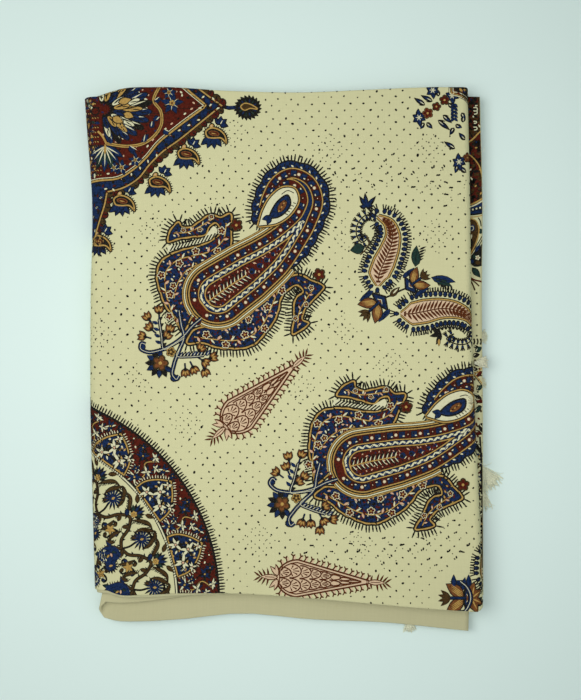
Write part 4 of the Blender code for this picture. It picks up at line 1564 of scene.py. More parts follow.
def groundDots(left, right, low, high):
    block = []
    step = dots["apart"]
    for row in range(int((high - low) / (step / 2)) + 1):
        y = low + row * step / 2
        shift = step / 2 if row % 2 else 0.0
        for column in range(int((right - left) / step) + 1):
            x = left + column * step + shift
            dx, dy, grow = dice.normal(0, 0.5), dice.normal(0, 0.5), dice.normal()
            turn, chance = dice.uniform(0, 3), dice.random()
            px = x + dx + 2.2 * sin(y / 61 + 0.7)
            py = y + dy + 2.0 * sin(x / 57)
            size = max(dots["radius"] * (1 + 0.2 * grow), 0.4)
            fill(block, "black", 0, oval(px, py, size * 1.15, size * 0.85, turn, 6))
            doubled = 0.75 * math.exp(-(((py - 137) / 13) ** 2)) * (px > 20)
            doubled += 0.6 * math.exp(-(((py + 158) / 16) ** 2)) * (px > 10)
            if chance < doubled:
                fill(
                    block, "black", 0,
                    oval(px + 1.5, py + 0.8 * turn - 0.6, 1.3 + 0.3 * grow, 0.75, turn - 0.6, 6),
                )
                spot(block, "black", 0, px + 3.8 + 3 * dx, py - 2.8 + 3 * dy, 0.5, 5)
    fine, reach = dots["fine"], dots["diamond"]
    for x, y in diamonds:
        count = int(reach / fine)
        for i in range(-count, count + 1):
            for j in range(-count, count + 1):
                if (i + j) % 2 == 0 and abs(i) + abs(j) <= count + 1:
                    dx, dy = dice.normal(0, 0.35, 2)
                    spot(block, "black", 0, x + i * fine + dx, y + j * fine + dy, dots["fineRadius"], 5)
    return block


def clearOf(block, zones):
    kept = []
    for shape in block:
        x, y = shape[2].mean(axis=0)
        if not any(insideOf(x, y, zone) for zone in zones):
            kept.append(shape)
    return kept


# The strip of the third ply that shows beside the rolled fold
def rightStripPrint():
    block = []
    fill(block, "black", 0, [(138, 116), (163, 116), (163, 214), (138, 214)])
    fill(block, "maroon", 1, [(138, 118), (163, 118), (163, 214), (138, 214)])
    zone = np.array([(147, 119), (162, 119), (162, 206), (147, 206)])
    scatter(block, 2, zone, 2.5, ("black", "black", "black", "black", "umber"), 4.8)
    scatter(block, 3, zone, 6.6, ("cream", "blue", "ochre", "umber", "maroon"), 2.8)
    for y, reach in ((194.5, 1.0), (192.0, 0.9), (184.0, 0.5), (179.0, 0.8)):
        arc = smoothPath(
            [
                (153, y + 1.4 * reach), (155 + reach, y + reach), (155 + reach, y - reach),
                (153.5, y - 1.6 * reach),
            ]
        )
        lines(block, 3, arc, ("black", 2.2), ("cream", 0.9))
    fill(block, "blue", 4, [(147, 109.6), (147, 115.2), (161, 119.6), (161, 110.6)])
    for x in (149.6, 152.7, 155.7, 158.6):
        spot(block, "black", 5, x, 112.4 + 0.25 * (x - 149.6), 1.6, 8)
        spot(block, "cream", 6, x - 0.2, 112.7 + 0.25 * (x - 149.6), 0.8, 7)
    for points, ink, wide in (
        ([(138, 118), (149, 116.2), (154, 118.0), (161, 122.0)], "black", 3.4),
        ([(138, 118.6), (149, 117.0), (154, 118.8), (161, 122.9)], "ochre", 1.3),
        ([(138, 116.6), (149, 115.3), (154, 117.0), (161, 121.0)], "cream", 1.0),
        ([(146, 109.6), (152, 109.4), (161, 110.7)], "black", 1.3),
        ([(146, 107.8), (152, 107.4), (161, 108.9)], "ochre", 0.8),
        ([(146, 166), (152, 170), (158, 176), (164, 180)], "ochre", 1.2),
        ([(146, 160), (152, 156), (158, 148), (160, 140)], "ochre", 1.0),
        (
            [(150.4, 106.4), (155.0, 104.4), (157.3, 99.0), (156.5, 91.0), (153.5, 83.0), (149.8, 76.2)],
            "ochre", 0.9,
        ),
        ([(156.8, 107.0), (158.6, 104.0), (159.2, 100.0)], "black", 0.9),
        ([(160, 92.0), (155.4, 84.0), (149.6, 75.4)], "black", 0.7),
        ([(160, 89.0), (155.8, 81.8), (150.0, 74.2)], "black", 0.7),
        ([(149.6, 58.8), (153.0, 57.0), (159.6, 55.2)], "maroon", 1.3),
        ([(149.8, 57.6), (152.0, 53.6), (154.2, 48.2)], "umber", 1.2),
        ([(150.6, 57.4), (154.4, 54.6), (157.6, 51.6)], "umber", 1.1),
    ):
        level = {"black": 5, "ochre": 6, "cream": 6, "umber": 6, "maroon": 6}[ink]
        line(block, ink, level, smoothPath(points), wide)
    teardrop = smoothPath(
        [
            (149.0, 103.0), (152.4, 103.6), (155.4, 100.0), (155.0, 92.0), (152.6, 84.4), (150.0, 79.0),
            (148.2, 90.0),
        ],
        closed=True,
    )
    fill(block, "black", 4, teardrop)
    fill(block, "umber", 5, beside(teardrop, 2.2, closed=True))
    fill(block, "blue", 6, oval(152.2, 98.6, 2.2, 2.8))
    line(block, "cream", 7, smoothPath([(150.4, 99.4), (152.2, 100.2), (153.2, 98.0), (151.6, 96.4)]), 0.5)
    leaf(block, "cream", 7, 151.6, 93.6, -1.7, 4.0, 0.5, 0.2, None)
    leaf(block, "black", 6, 151.4, 90.0, -1.6, 8.0, 1.2, 0.2, None)
    fill(block, "green", 5, oval(158.8, 96.0, 1.6, 2.2))
    fill(
        block, "black", 5,
        smoothPath(
            [(160.4, 86.4), (156.4, 81.4), (152.0, 76.4), (150.2, 70.6), (153.0, 67.6), (160.4, 68.4)],
            closed=True,
        ),
    )
    leaf(block, "blue", 6, 154.0, 79.0, 0.95, 8.0, 1.3, 0.1, None)
    fill(block, "blue", 6, oval(151.9, 71.6, 1.3, 1.6))
    fill(block, "umber", 6, oval(156.6, 70.6, 2.2, 1.7))
    fill(block, "green", 6, oval(153.6, 75.4, 1.4, 1.8))
    roundFlower(block, 7, 156.4, 74.6, 2.0, 5, "cream", "pink")
    leaf(block, "green", 6, 152.2, 66.2, -0.88, 9.6, 2.1, 0.1, "black", 0.6)
    for number in range(5):
        spot(block, "black", 1, 155.6 + 0.5 * sin(2.3 * number), 46.0 - 8.6 * number, 0.8, 7)
    for x in (153.2, 155.9, 158.6):
        line(block, "black", 2, smoothPath([(x, 9.2), (x + 0.7, 7.0), (x, 4.4)]), 1.3)
    for x, y, turn, long, wide, ink in (
        (153.6, 2.4, 0.0, 3, 0.8, "black"), (154.6, -1.0, 0.5, 6, 1.8, "green"),
        (152.8, -4.6, 0.1, 5, 1.6, "black"), (153.8, -11.6, -0.2, 6, 0.9, "black"),
        (153.4, -15.8, 0.0, 3, 1.0, "black"), (154.2, -21.0, 0.5, 7, 1.8, "maroon"),
        (155.4, -32.0, 0.5, 6, 1.5, "green"), (153.6, -35.6, -0.6, 7, 1.0, "black"),
        (154.8, -40.0, -0.4, 7, 1.6, "maroon"), (154, -50, 0.6, 7, 1.7, "green"),
        (158, -60, -1.2, 8, 1.7, "black"), (154, -66, -0.4, 6, 1.7, "maroon"),
        (157, -76, -1.5, 7, 1.7, "black"),
    ):
        leaf(block, ink, 4, x, y, turn, long, wide, 0.4, "black", 0.5)
        leaf(block, "cream", 5, x, y, turn + 0.3, long * 0.5, 0.35, 0.3, None)
    for points in (
        [(153.4, -19.6), (156.4, -22.6), (160.0, -27.2)], [(153.6, -18.8), (156.8, -17.6), (160.0, -14.6)]
    ):
        line(block, "ochre", 6, smoothPath(points), 0.9)
    line(block, "black", 4, smoothPath([(153.4, -20.6), (156.0, -23.8), (159.6, -28.6)]), 0.7)
    zone = np.array([(150, -4), (161, -4), (161, -120), (154, -120), (150, -60)])
    scatter(block, 2, zone, 4.4, ("black", "black", "maroon", "umber"), 3.6)
    line(
        block, "black", 3,
        smoothPath([(158.2, -70), (159.4, -90), (160.0, -120), (160.3, -150), (160.4, -176)]), 1.5,
    )
    zone = np.array([(150, -84), (162, -84), (162, -206), (156, -206)])
    scatter(block, 2, zone, 2.6, ("black", "black", "blue", "black", "umber"), 3.8)
    scatter(block, 3, zone, 7.0, ("cream", "ochre", "cream"), 2.6)
    return block


# How far each ink stands off the cloth, so that no two films meet
inkRank = ("black", "maroon", "blue", "green", "umber", "brown", "ochre", "pink", "cream", "rust", "blush")
film = {"first": 0.10, "level": 0.006, "rank": 0.0005}


# One film for each ink: its points on the folded cloth, its points on the flat cloth, and its triangles
def layPrint(shapes, name, faceOf, limits, longest):
    made = {}
    for rank, ink in enumerate(inkRank):
        mine = [shape for shape in shapes if shape[0] == ink]
        if not mine:
            continue
        counts = [len(shape[2]) for shape in mine]
        starts = np.cumsum([0] + counts)
        points = np.concatenate([shape[2] for shape in mine])
        level = np.repeat([shape[1] for shape in mine], counts)
        lift = film["first"] + film["level"] * level + film["rank"] * rank
        triangles = np.concatenate([shape[3] + start for shape, start in zip(mine, starts)])
        for limit in limits:
            points, lift, triangles = trimmed(points, lift, triangles, limit)
        points, lift, triangles = refined(points, lift, triangles, longest)
        used, index = np.unique(triangles, return_inverse=True)
        points, lift, triangles = points[used], lift[used], index.reshape(-1, 3)
        ends = points[triangles]
        sides, others = ends[:, 1] - ends[:, 0], ends[:, 2] - ends[:, 0]
        area = sides[:, 0] * others[:, 1] - sides[:, 1] * others[:, 0]
        triangles = np.where((area < 0)[:, None], triangles[:, ::-1], triangles)[np.abs(area) > 1e-7]
        made[ink] = (faceOf(points[:, 0], points[:, 1], lift), points, triangles)
        print("printed", ink, "on the", name + ":", len(mine), "shapes,", len(triangles), "triangles")
    return made


# The mesh of one ink, from what was laid on each face
def inkObject(name, parts):
    starts = np.cumsum([0] + [len(part[0]) for part in parts])
    points = np.concatenate([part[0] for part in parts]) * mm
    flat = np.concatenate([part[1] for part in parts]) * mm
    triangles = np.concatenate([part[2] + start for part, start in zip(parts, starts)])
    mesh = bpy.data.meshes.new(name)
    mesh.vertices.add(len(points))
    mesh.vertices.foreach_set("co", points.ravel())
    mesh.loops.add(triangles.size)
    mesh.loops.foreach_set("vertex_index", triangles.ravel().astype(np.int32))
    mesh.polygons.add(len(triangles))
    mesh.polygons.foreach_set("loop_start", (np.arange(len(triangles)) * 3).astype(np.int32))
    mesh.uv_layers.new(name="flat").data.foreach_set("uv", flat[triangles].ravel())
    mesh.update(calc_edges=True)
    mesh.validate()
    mesh.shade_smooth()
    return inScene(name, mesh)


def feed(tree, socket, value):
    if isinstance(value, bpy.types.NodeSocket):
        tree.links.new(value, socket)
    else:
        socket.default_value = value


def addNode(tree, kind, values=None, **settings):
    node = tree.nodes.new(kind)
    for name, value in settings.items():
        setattr(node, name, value)
    for socket, value in (values or {}).items():
        feed(tree, node.inputs[socket], value)
    return node


def sums(tree, operation, first, second=0.0, third=0.0):
    return addNode(tree, "ShaderNodeMath", {0: first, 1: second, 2: third}, operation=operation).outputs[0]


def mixColour(tree, share, first, second, blend="MIX"):
    node = addNode(tree, "ShaderNodeMix", data_type="RGBA", blend_type=blend)
    for socket, value in (("Factor_Float", share), ("A_Color", first), ("B_Color", second)):
        feed(tree, next(s for s in node.inputs if s.identifier == socket), value)
    return next(s for s in node.outputs if s.identifier == "Result_Color")


def newGroup(name, inputs, outputs):
    tree = bpy.data.node_groups.new(name, "ShaderNodeTree")
    for kind, side in ((inputs, "INPUT"), (outputs, "OUTPUT")):
        for socket, form, value in kind:
            made = tree.interface.new_socket(socket, in_out=side, socket_type=form)
            if value is not None:
                made.default_value = value
    return tree, tree.nodes.new("NodeGroupInput").outputs, tree.nodes.new("NodeGroupOutput").inputs


def flatPlace(tree):
    return addNode(tree, "ShaderNodeUVMap", uv_map="flat").outputs["UV"]


def noise(tree, where, scale, detail=2.0, rough=0.55):
    values = {"Vector": where, "Scale": scale, "Detail": detail, "Roughness": rough}
    return addNode(tree, "ShaderNodeTexNoise", values).outputs["Fac"]


def stretched(tree, where, across, along):
    return addNode(
        tree, "ShaderNodeVectorMath", {0: where, 1: (across, along, 1.0)}, operation="MULTIPLY"
    ).outputs[0]


def spread(tree, value, low, high, toLow=0.0, toHigh=1.0):
    values = {"Value": value, "From Min": low, "From Max": high, "To Min": toLow, "To Max": toHigh}
    return addNode(tree, "ShaderNodeMapRange", values).outputs[0]


# A plain weave with uneven threads: a shade round 1, and a height
def weaveGroup():
    tree, given, out = newGroup(
        "plainWeave",
        [("Threads per metre", "NodeSocketFloat", 1900.0), ("Slub", "NodeSocketFloat", 0.05)],
        [("Shade", "NodeSocketFloat", None), ("Height", "NodeSocketFloat", None)],
    )
    where = flatPlace(tree)
    parts = addNode(tree, "ShaderNodeSeparateXYZ", {0: where}).outputs
    waves = []
    for axis in (0, 1):
        turns = sums(tree, "MULTIPLY", sums(tree, "MULTIPLY", parts[axis], given[0]), pi)
        waves.append(sums(tree, "SINE", turns))
    over = sums(tree, "MULTIPLY_ADD", sums(tree, "MULTIPLY", waves[0], waves[1]), 0.5, 0.5)
    warp = noise(tree, stretched(tree, where, 900.0, 45.0), 1.0, 1.0)
    weft = noise(tree, stretched(tree, where, 45.0, 900.0), 1.0, 1.0)
    uneven = sums(tree, "SUBTRACT", sums(tree, "ADD", warp, weft), 1.0)
    shade = sums(tree, "MULTIPLY_ADD", sums(tree, "MULTIPLY", uneven, given[1]), 2.4, 1.0)
    tree.links.new(sums(tree, "MULTIPLY_ADD", over, 0.03, sums(tree, "SUBTRACT", shade, 0.015)), out[0])
    tree.links.new(sums(tree, "MULTIPLY_ADD", uneven, 0.8, over), out[1])
    return tree


# Block-printed colour that took unevenly: deeper patches, and specks where the cloth shows through
def inkGroup():
    tree, given, out = newGroup(
        "unevenInk",
        [
            ("Ink", "NodeSocketColor", (0.1, 0.1, 0.1, 1.0)),
            ("Deep", "NodeSocketColor", (0.02, 0.02, 0.03, 1.0)),
            ("Cloth", "NodeSocketColor", (0.6, 0.58, 0.35, 1.0)), ("Patches", "NodeSocketFloat", 0.5),
            ("Specks", "NodeSocketFloat", 0.3),
        ],
        [("Colour", "NodeSocketColor", None)],
    )
    where = flatPlace(tree)
    patch = spread(tree, noise(tree, where, 520.0, 3.0), 0.44, 0.62)
    deeper = mixColour(tree, sums(tree, "MULTIPLY", patch, given["Patches"]), given["Ink"], given["Deep"])
    speck = spread(tree, noise(tree, where, 1300.0, 2.0, 0.6), 0.58, 0.70)
    tree.links.new(
        mixColour(tree, sums(tree, "MULTIPLY", speck, given["Specks"]), deeper, given["Cloth"]), out[0]
    )
    return tree


# Faint stains and handling marks, darker and lighter
def ageGroup():
    tree, given, out = newGroup(
        "handledCloth",
        [
            ("Cloth", "NodeSocketColor", (0.6, 0.58, 0.35, 1.0)),
            ("Stain", "NodeSocketColor", (0.4, 0.36, 0.2, 1.0)), ("Amount", "NodeSocketFloat", 0.3),
        ],
        [("Colour", "NodeSocketColor", None)],
    )
    where = flatPlace(tree)
    broad = spread(tree, noise(tree, where, 9.0, 3.0), 0.45, 0.75)
    marks = spread(tree, noise(tree, where, 60.0, 4.0, 0.6), 0.66, 0.80)
    both = sums(tree, "MAXIMUM", sums(tree, "MULTIPLY", broad, 0.5), marks)
    tree.links.new(
        mixColour(tree, sums(tree, "MULTIPLY", both, given["Amount"]), given["Cloth"], given["Stain"]),
        out[0],
    )
    return tree


# Where no block is laid one by one, as inside the folds: the same colours, as scattered motifs and dots
def foldPrintGroup():
    tree, given, out = newGroup(
        "printInFolds",
        [("Cloth", "NodeSocketColor", (0.6, 0.58, 0.35, 1.0)), ("Amount", "NodeSocketFloat", 1.0)],
        [("Colour", "NodeSocketColor", None)],
    )
    where = flatPlace(tree)
    areas = spread(tree, noise(tree, where, 11.0, 1.0), 0.5, 0.53)
    cells = addNode(tree, "ShaderNodeTexVoronoi", {"Vector": where, "Scale": 210.0}, feature="F1")
    share = addNode(tree, "ShaderNodeSeparateColor", {0: cells.outputs["Color"]}).outputs[0]
    ramp = addNode(tree, "ShaderNodeValToRGB", {0: share})
    ramp.color_ramp.interpolation = "CONSTANT"
    steps = ((0.0, "maroon"), (0.34, "blue"), (0.62, "black"), (0.78, "ochre"), (0.9, "cream"))
    for number, (place, ink) in enumerate(steps):
        stop = ramp.color_ramp.elements[0] if not number else ramp.color_ramp.elements.new(place)
        stop.position, stop.color = place, (*inks[ink]["colour"], 1.0)
    ramp.color_ramp.elements.remove(ramp.color_ramp.elements[-1])
    dotCells = addNode(
        tree, "ShaderNodeTexVoronoi", {"Vector": where, "Scale": 96.0, "Randomness": 0.25}, feature="F1"
    )
    dotMask = sums(tree, "LESS_THAN", dotCells.outputs["Distance"], 0.07)
    ground = mixColour(tree, dotMask, given["Cloth"], (*inks["black"]["colour"], 1.0))
    both = mixColour(tree, areas, ground, ramp.outputs["Color"])
    tree.links.new(mixColour(tree, given["Amount"], given["Cloth"], both), out[0])
    return tree


def fillGroup(tree, group, values):
    return addNode(tree, "ShaderNodeGroup", values, node_tree=group).outputs


def newMaterial(name):
    made = bpy.data.materials.new(name)
    made.use_nodes = True
    return made, made.node_tree, made.node_tree.nodes["Principled BSDF"]


# The weave: threads to a metre, how uneven they are, and how deep, in millimetres
weave = {"threads": 1900.0, "slub": 0.03, "depth": 0.06, "matt": 0.92}


# A matt woven surface of the given colour, with the weave's height
def clothMaterial(name, colour, groups, stain=None, foldPrint=False, shine=0.25):
    made, tree, shader = newMaterial(name)
    woven = fillGroup(tree, groups["weave"], {"Threads per metre": weave["threads"], "Slub": weave["slub"]})
    base = colour if isinstance(colour, tuple) else colour(tree)
    if foldPrint:
        hidden = addNode(tree, "ShaderNodeAttribute", attribute_name="inFold").outputs["Fac"]
        base = fillGroup(tree, groups["folds"], {"Cloth": base, "Amount": hidden})[0]
    if stain:
        base = fillGroup(tree, groups["age"], {"Cloth": base, "Stain": stain, "Amount": 0.3})[0]
    grey = addNode(
        tree, "ShaderNodeCombineColor", {0: woven["Shade"], 1: woven["Shade"], 2: woven["Shade"]}
    ).outputs[0]
    tree.links.new(mixColour(tree, 1.0, base, grey, "MULTIPLY"), shader.inputs["Base Color"])
    bump = addNode(
        tree, "ShaderNodeBump",
        {"Height": woven["Height"], "Strength": 0.5, "Distance": weave["depth"] * mm},
    )
    tree.links.new(bump.outputs["Normal"], shader.inputs["Normal"])
    shader.inputs["Roughness"].default_value = weave["matt"]
    shader.inputs["Specular IOR Level"].default_value = shine
    return made


clothColours = {
    "calico": (0.572, 0.553, 0.320, 1.0), "reverse": (0.485, 0.460, 0.278, 1.0),
    "stain": (0.44, 0.38, 0.20, 1.0),
}
inks = {
    "black": {
        "colour": (0.010, 0.009, 0.008), "deep": (0.004, 0.004, 0.004), "patches": 0.4, "specks": 0.12
    },
    "maroon": {
        "colour": (0.085, 0.011, 0.006), "deep": (0.025, 0.006, 0.004), "patches": 0.6, "specks": 0.05
    },
    "blue": {
        "colour": (0.009, 0.024, 0.082), "deep": (0.004, 0.008, 0.018), "patches": 0.8, "specks": 0.04
    },
    "green": {
        "colour": (0.014, 0.036, 0.030), "deep": (0.006, 0.012, 0.012), "patches": 0.6, "specks": 0.08
    },
    "umber": {
        "colour": (0.060, 0.032, 0.010), "deep": (0.020, 0.012, 0.006), "patches": 0.6, "specks": 0.1
    },
    "brown": {"colour": (0.17, 0.062, 0.020), "deep": (0.07, 0.022, 0.008), "patches": 0.7, "specks": 0.08},
    "ochre": {"colour": (0.43, 0.27, 0.075), "deep": (0.24, 0.13, 0.035), "patches": 0.5, "specks": 0.12},
    "pink": {"colour": (0.56, 0.36, 0.23), "deep": (0.42, 0.22, 0.14), "patches": 0.5, "specks": 0.25},
    "cream": {"colour": (0.62, 0.60, 0.40), "deep": (0.50, 0.47, 0.29), "patches": 0.4, "specks": 0.0},
    "rust": {
        "colour": (0.085, 0.021, 0.006), "deep": (0.035, 0.009, 0.004), "patches": 0.5, "specks": 0.12
    },
    "blush": {"colour": (0.60, 0.44, 0.29), "deep": (0.55, 0.38, 0.25), "patches": 0.5, "specks": 0.2},
}


def inkMaterial(name, ink, groups):
    def colour(tree):
        values = {
            "Ink": (*ink["colour"], 1.0), "Deep": (*ink["deep"], 1.0), "Cloth": clothColours["calico"],
            "Patches": ink["patches"], "Specks": ink["specks"],
        }
        return fillGroup(tree, groups["ink"], values)[0]

    return clothMaterial(name, colour, groups, shine=0.06)


# Tassels of twisted cotton: each knot's place, heading and fan in degrees, its length, and yarns in rows
fringe = {
    "yarn": 0.95,
    "knot": 1.55,
    "twist": 3.4,
    "strip": {"left": 148.3, "right": 158.2, "near": -112.0, "far": 14.0, "thick": 1.0},
}
tassels = {
    "sideFringe": (
        {"x": 158.4, "y": 10.5, "heading": 2.0, "long": 8.0, "fan": 100.0, "rows": (7, 6)},
        {"x": 158.4, "y": -27.5, "heading": 8.0, "long": 7.0, "fan": 80.0, "rows": (5, 5)},
        {"x": 158.4, "y": -94.0, "heading": -50.0, "long": 24.5, "fan": 50.0, "rows": (9, 8)},
        {"x": 158.4, "y": -107.5, "heading": -76.0, "long": 25.0, "fan": 28.0, "rows": (7, 6)},
    ),
    "stripTassel": ({"x": 154.4, "y": -10.4, "heading": 5.0, "long": 11.0, "fan": 56.0, "rows": (6, 5)},),
    "endTassel": ({"x": 101.6, "y": -220.3, "heading": -84.0, "long": 10.5, "fan": 70.0, "rows": (6, 6)},),
}


# Along a path at each of its points, and level across it
def directions(path):
    along = np.gradient(path, axis=0)
    along = along / np.linalg.norm(along, axis=1)[:, None]
    return along, np.cross(along, (0.0, 0.0, 1.0))


# A round strand along points, thinner at its far end, as points and faces
def strand(path, radius, sides=6, frayed=0.6):
    path = np.asarray(path, float)
    along, aside = directions(path)
    aside = aside / np.maximum(np.linalg.norm(aside, axis=1), 1e-6)[:, None]
    upward = np.cross(aside, along)
    count = len(path)
    t = np.linspace(0, 1, count)
    size = radius * (1 - frayed * np.clip((t - 0.85) / 0.15, 0, 1) ** 2)
    turns = np.arange(sides) * 2 * pi / sides
    ring = np.cos(turns)[None, :, None] * aside[:, None] + np.sin(turns)[None, :, None] * upward[:, None]
    points = (path[:, None] + ring * size[:, None, None]).reshape(-1, 3)
    faces = []
    for i in range(count - 1):
        for j in range(sides):
            k = (j + 1) % sides
            faces.append((i * sides + j, i * sides + k, (i + 1) * sides + k, (i + 1) * sides + j))
    faces.append(tuple(range(sides))[::-1])
    faces.append(tuple((count - 1) * sides + j for j in range(sides)))
    return points, faces


# The middle line of one yarn: out of its knot, down to what it lies on, and fanning out
def yarnLine(tassel, level, row, place, count):
    share = place / (count - 1) - 0.5
    heading = math.radians(tassel["heading"] + 0.8 * tassel["fan"] * share)
    square = math.radians(tassel["heading"] + 90)
    low = level + fringe["yarn"] * (0.5 + 1.1 * row)
    rise = max(level + fringe["knot"] - low, 0.0)
    long = tassel["long"] * (1 - 0.1 * row - 0.07 * ((2 * place + row) % 3))
    t = np.linspace(0, 1, 26)
    curl = 0.04 * long * np.sin(pi * t) * (-1) ** row + 0.25 * np.sin(t * 9 + 2 * place + row) * t
    start = share * fringe["knot"]
    x = tassel["x"] + start * cos(square) + long * t * cos(heading) - curl * sin(heading)
    y = tassel["y"] + start * sin(square) + long * t * sin(heading) + curl * cos(heading)
    z = low + rise * np.clip(1 - t / 0.16, 0, 1)
    return np.stack([x, y, z], axis=1)


# Two plies twisted round a yarn's middle line
def twistedYarn(line, phase):
    along, aside = directions(line)
    upward = np.cross(aside, along)
    far = lengthsAlong(line)
    made = []
    for ply in (0, 1):
        turn = (phase + far * 2 * pi / fringe["twist"] + ply * pi)[:, None]
        off = fringe["yarn"] * 0.21
        loose = 1 + 1.1 * np.clip((far / far[-1] - 0.75) / 0.25, 0, 1)[:, None] ** 2
        made.append(
            strand(
                line + off * loose * (np.cos(turn) * aside + 0.7 * np.sin(turn) * upward),
                fringe["yarn"] * 0.27,
            )
        )
    return made


def pointsAndFaces(shape):
    points = np.array([vertex.co for vertex in shape.verts])
    faces = [tuple(vertex.index for vertex in face.verts) for face in shape.faces]
    shape.free()
    return points, faces


def knotShape(x, y, level):
    made = []
    radius = fringe["knot"]
    for wrap in range(3):
        t = np.linspace(0, 2 * pi, 17)
        tilt = wrap * 1.05
        loop = np.stack([np.cos(t), np.sin(t) * cos(tilt), np.sin(t) * sin(tilt)], axis=1)
        made.append(strand((x, y, level + radius) + loop * (radius - 0.5), 0.5, 6, 0.0))
    shape = bmesh.new()
    bmesh.ops.create_uvsphere(shape, u_segments=14, v_segments=9, radius=radius - 0.25)
    points, faces = pointsAndFaces(shape)
    return made + [(points + (x, y, level + radius), faces)]


# A few stray hairs of cotton that stand off a tassel
def looseHairs(tassel, level, count):
    made = []
    for _ in range(count):
        heading = math.radians(tassel["heading"] + tassel["fan"] * dice.normal(0, 0.22))
        start = tassel["long"] * dice.uniform(0.05, 0.6)
        long = tassel["long"] * dice.uniform(0.25, 0.42)
        bend = dice.uniform(-0.5, 0.5)
        t = np.linspace(0, 1, 6)
        x = tassel["x"] + start * cos(heading) + long * t * np.cos(heading + bend * t)
        y = tassel["y"] + start * sin(heading) + long * t * np.sin(heading + bend * t)
        z = level + 0.5 + dice.uniform(0, 1.1) + 0.5 * np.sin(pi * t)
        made.append(strand(np.stack([x, y, z], axis=1), 0.15, 4))
    return made


def joined(name, shapes):
    points, faces, total = [], [], 0
    for some, mine in shapes:
        points.append(some)
        faces += [tuple(index + total for index in face) for face in mine]
        total += len(some)
    return newObject(name, np.concatenate(points), faces)


def makeTassels(name, group, level):
    shapes = []
    for number, tassel in enumerate(group):
        for row, count in enumerate(tassel["rows"]):
            for place in range(count):
                shapes += twistedYarn(yarnLine(tassel, level, row, place, count), place * 1.3 + row)
        shapes += knotShape(tassel["x"], tassel["y"], level)
        shapes += looseHairs(tassel, level, 16 * sum(tassel["rows"]))
    if name == "sideFringe":
        strip = fringe["strip"]
        shape = bmesh.new()
        bmesh.ops.create_cube(shape, size=1.0)
        size = np.array([strip["right"] - strip["left"], strip["far"] - strip["near"], strip["thick"]])
        middle = np.array(
            [strip["right"] + strip["left"], strip["far"] + strip["near"], strip["thick"]]
        ) / 2
        points, faces = pointsAndFaces(shape)
        shapes.append((points * size + middle, faces))
    return joined(name, shapes)


# Stray threads at the far right corner: their ends, and their bends between
strayThreads = (
    ((160.0, 121.0, 11.2), (161.6, 118.0, 10.4), (162.0, 114.0, 9.2), (160.6, 110.0, 8.8)),
    ((160.4, 117.0, 11.6), (162.6, 115.0, 11.4), (163.4, 119.0, 11.0)),
    ((160.2, 160.0, 11.4), (161.6, 161.0, 11.6), (162.2, 164.0, 11.0)),
    ((157.6, -92.0, 11.5), (161.0, -91.0, 12.0), (164.0, -94.0, 11.0), (165.0, -99.0, 9.0)),
)


def makeStrays():
    shapes = []
    for points in strayThreads:
        ends = np.array(points)
        t = np.linspace(0, len(ends) - 1, 22)
        thread = np.stack([np.interp(t, range(len(ends)), ends[:, k]) for k in range(3)], axis=1)
        for _ in range(3):
            thread[1:-1] = (thread[:-2] + thread[2:] + 2 * thread[1:-1]) / 4
        shapes.append(strand(thread, 0.14, 5))
    return joined("strayThreads", shapes)


def yarnMaterial(name, colour):
    made, tree, shader = newMaterial(name)
    where = addNode(tree, "ShaderNodeTexCoord").outputs["Object"]
    uneven = noise(tree, where, 700.0, 3.0, 0.6)
    dark = tuple(0.78 * value for value in colour[:3]) + (1.0,)
    tree.links.new(
        mixColour(tree, spread(tree, uneven, 0.35, 0.7), colour, dark), shader.inputs["Base Color"]
    )
    fibre = noise(tree, where, 4000.0, 2.0)
    bump = addNode(tree, "ShaderNodeBump", {"Height": fibre, "Strength": 0.5, "Distance": 0.1 * mm})
    tree.links.new(bump.outputs["Normal"], shader.inputs["Normal"])
    shader.inputs["Roughness"].default_value = 0.95
    shader.inputs["Specular IOR Level"].default_value = 0.2
    return made


# Camera straight above, framing 581 by 700 at 0.8 mm to a pixel on the top of the pile
view = {"wide": 464.8, "height": 1150.0, "x": 5.2, "y": 0.0, "top": 22.0}


def makeCamera():
    data = bpy.data.cameras.new("overhead")
    data.sensor_fit = "HORIZONTAL"
    data.sensor_width = 36.0
    data.lens = 36.0 * (view["height"] - view["top"]) / view["wide"]
    data.clip_start = 0.05
    data.clip_end = 20.0
    camera = inScene("overhead", data)
    camera.location = (view["x"] * mm, view["y"] * mm, view["height"] * mm)
    bpy.context.scene.camera = camera


def areaLight(name, place, side, power, colour):
    data = bpy.data.lights.new(name, "AREA")
    data.size = side
    data.energy = power
    data.color = colour
    lamp = inScene(name, data)
    lamp.location = place
    lamp.rotation_euler = (-Vector(place)).to_track_quat("-Z", "Y").to_euler()  # at the pile's middle


# The floor, the room's light, the soft lamps with sides in metres and power in watts, and a pool of light
studio = {
    "floor": (0.69, 0.82, 0.79, 1.0), "half": 2500.0, "room": (0.93, 1.0, 0.97, 1.0), "roomLight": 0.34
}
lamps = {
    "softbox": {"place": (-0.75, 0.15, 1.3), "side": 1.0, "power": 11.5, "colour": (1.0, 1.0, 0.97)},
    "fill": {"place": (0.9, -0.3, 1.7), "side": 1.4, "power": 4.0, "colour": (0.95, 0.99, 1.0)},
}
pool = {"power": 22.0, "angle": 39.0, "soft": 0.25, "height": 1.25}


